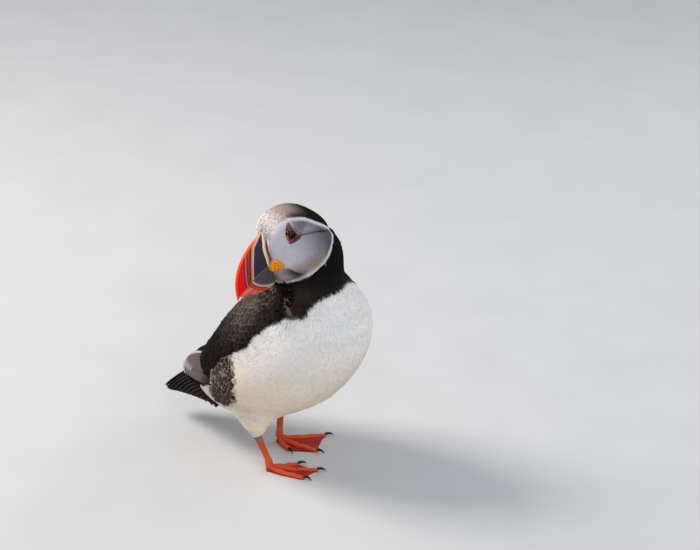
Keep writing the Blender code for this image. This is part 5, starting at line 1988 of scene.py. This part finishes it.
def build_tail():
    """The tail: overlapping dark feathers, the middle ones longest and on top."""
    last = len(TAIL_ROOTS) - 1
    shells = []
    for k in range(TAIL_FEATHERS, -1, -1):
        for side in (1, -1):
            v = (k + 0.35) / (TAIL_FEATHERS + 0.35)
            root = at_station(TAIL_ROOTS, v * last)
            tip = at_station(TAIL_TIPS, v * last)
            out = unit(np.array((v * 0.9, 0.25, 1.0 - 0.5 * v)))
            run = unit(tip - root)
            across = unit(np.cross(out, run))
            out = np.cross(run, across)
            nearer, farther = at_station(TAIL_TIPS, np.clip((v - 0.04, v + 0.04), 0, 1) * last)
            edge = farther - nearer
            slant = np.clip((edge @ run) / (edge @ across), -TAIL_SLANT_LIMIT, TAIL_SLANT_LIMIT)
            lower = out * (0.15 * k + (0.15 if side < 0 else 0) + 0.3)
            rings, along, over = blade(TAIL_GRID, root - lower, tip - lower, across, out,
                                       TAIL_HALF_WIDTH, TAIL_BOW, tail_outline,
                                       slant * smooth(0, 0.15, v))
            rings = rings * (side, 1, 1)
            rim = np.maximum(smooth(0.93, 1.0, along), smooth(0.86, 1.0, np.abs(over)))
            paint = mix(TAIL_DARK, TAIL_EDGE, rim * 0.8)
            paint = paint * barb_shade(along, over, 90 + k)[..., None]
            if k < 2:
                paint = mix(paint, TAIL_TIP, 0.8 * smooth(0.84, 0.93, along))
            shells.append((rings, paint))
    tail = join_shells("tail", shells)
    add_piece("tail", tail, surface_material("vanes"), ("tail",))


def primary_outline(t):
    """A primary's half width along it, down to its rounded tip."""
    width = np.interp(t, (0, 0.3, 0.6, 0.8, 1), (0.9, 0.95, 0.9, 0.75, 0.35))
    return width * (1 - np.clip((t - 0.75) / 0.25, 0, 1) ** 2.5) ** 0.5


def build_primaries(label, side):
    """The folded wing's tip: a stack of primaries, grey-brown towards their tips, partly worn colour
    and partly painted sheen, with pale rims that are painted highlights.
    """
    run = unit(PRIMARY_TIP - PRIMARY_ROOT)
    lean = math.radians(PRIMARY_LEAN)
    out = unit(np.cross(run, (0, 0, 1)))
    out = -out if out[0] < 0 else out
    rise = unit(np.cross(out, run))
    rise = -rise if rise[2] < 0 else rise
    height = unit(rise * math.cos(lean) - out * math.sin(lean))
    face = unit(out * math.cos(lean) + rise * math.sin(lean))
    shells = []
    for k in range(PRIMARY_COUNT):
        short = 1 - PRIMARY_STEP * k
        tip = PRIMARY_ROOT + (PRIMARY_TIP - PRIMARY_ROOT) * short
        up = height * (2.4 - 1.3 * k)
        down = face * (0.42 * (PRIMARY_COUNT - 1 - k))
        start, end = PRIMARY_ROOT + up - down, tip + up * 0.6 - down
        rings, along, over = blade(PRIMARY_GRID, start, end, height, face,
                                   PRIMARY_HALF_WIDTH - 0.6 * k, PRIMARY_BOW,
                                   primary_outline, reach=short)
        rings = rings * (side, 1, 1)
        # Pale rims on the top primary's edges and on the tips: painted highlights.
        if k == 0:
            rim = np.maximum(smooth(0.84, 0.97, along), smooth(0.70, 0.95, np.abs(over)))
            rim = rim * smooth(0.2, 0.6, along)
        else:
            rim = 0.7 * smooth(0.88, 0.97, along)
        paint = mix(PRIMARY_GREY, PRIMARY_DARK, smooth(0.6, 0.1, along))
        paint = mix(paint, PRIMARY_RIM_HIGHLIGHT, rim * 0.9)
        paint = paint * barb_shade(along, over, 110 + k)[..., None]
        shells.append((rings, paint))
    name = "primaries_" + label
    primaries = join_shells(name, shells)
    add_piece(name, primaries, surface_material("vanes"), (name,))


make_studio()
make_camera()
skin = build_skin()
build_bill()
for label, side in (("left", 1), ("right", -1)):
    build_eye(label, side)
    build_rosette(label, side)
    build_foot(label)
    build_tarsus(label)
    build_claws(label)
    build_primaries(label, side)
build_tail()
build_coat(skin)
build_vanes(skin)
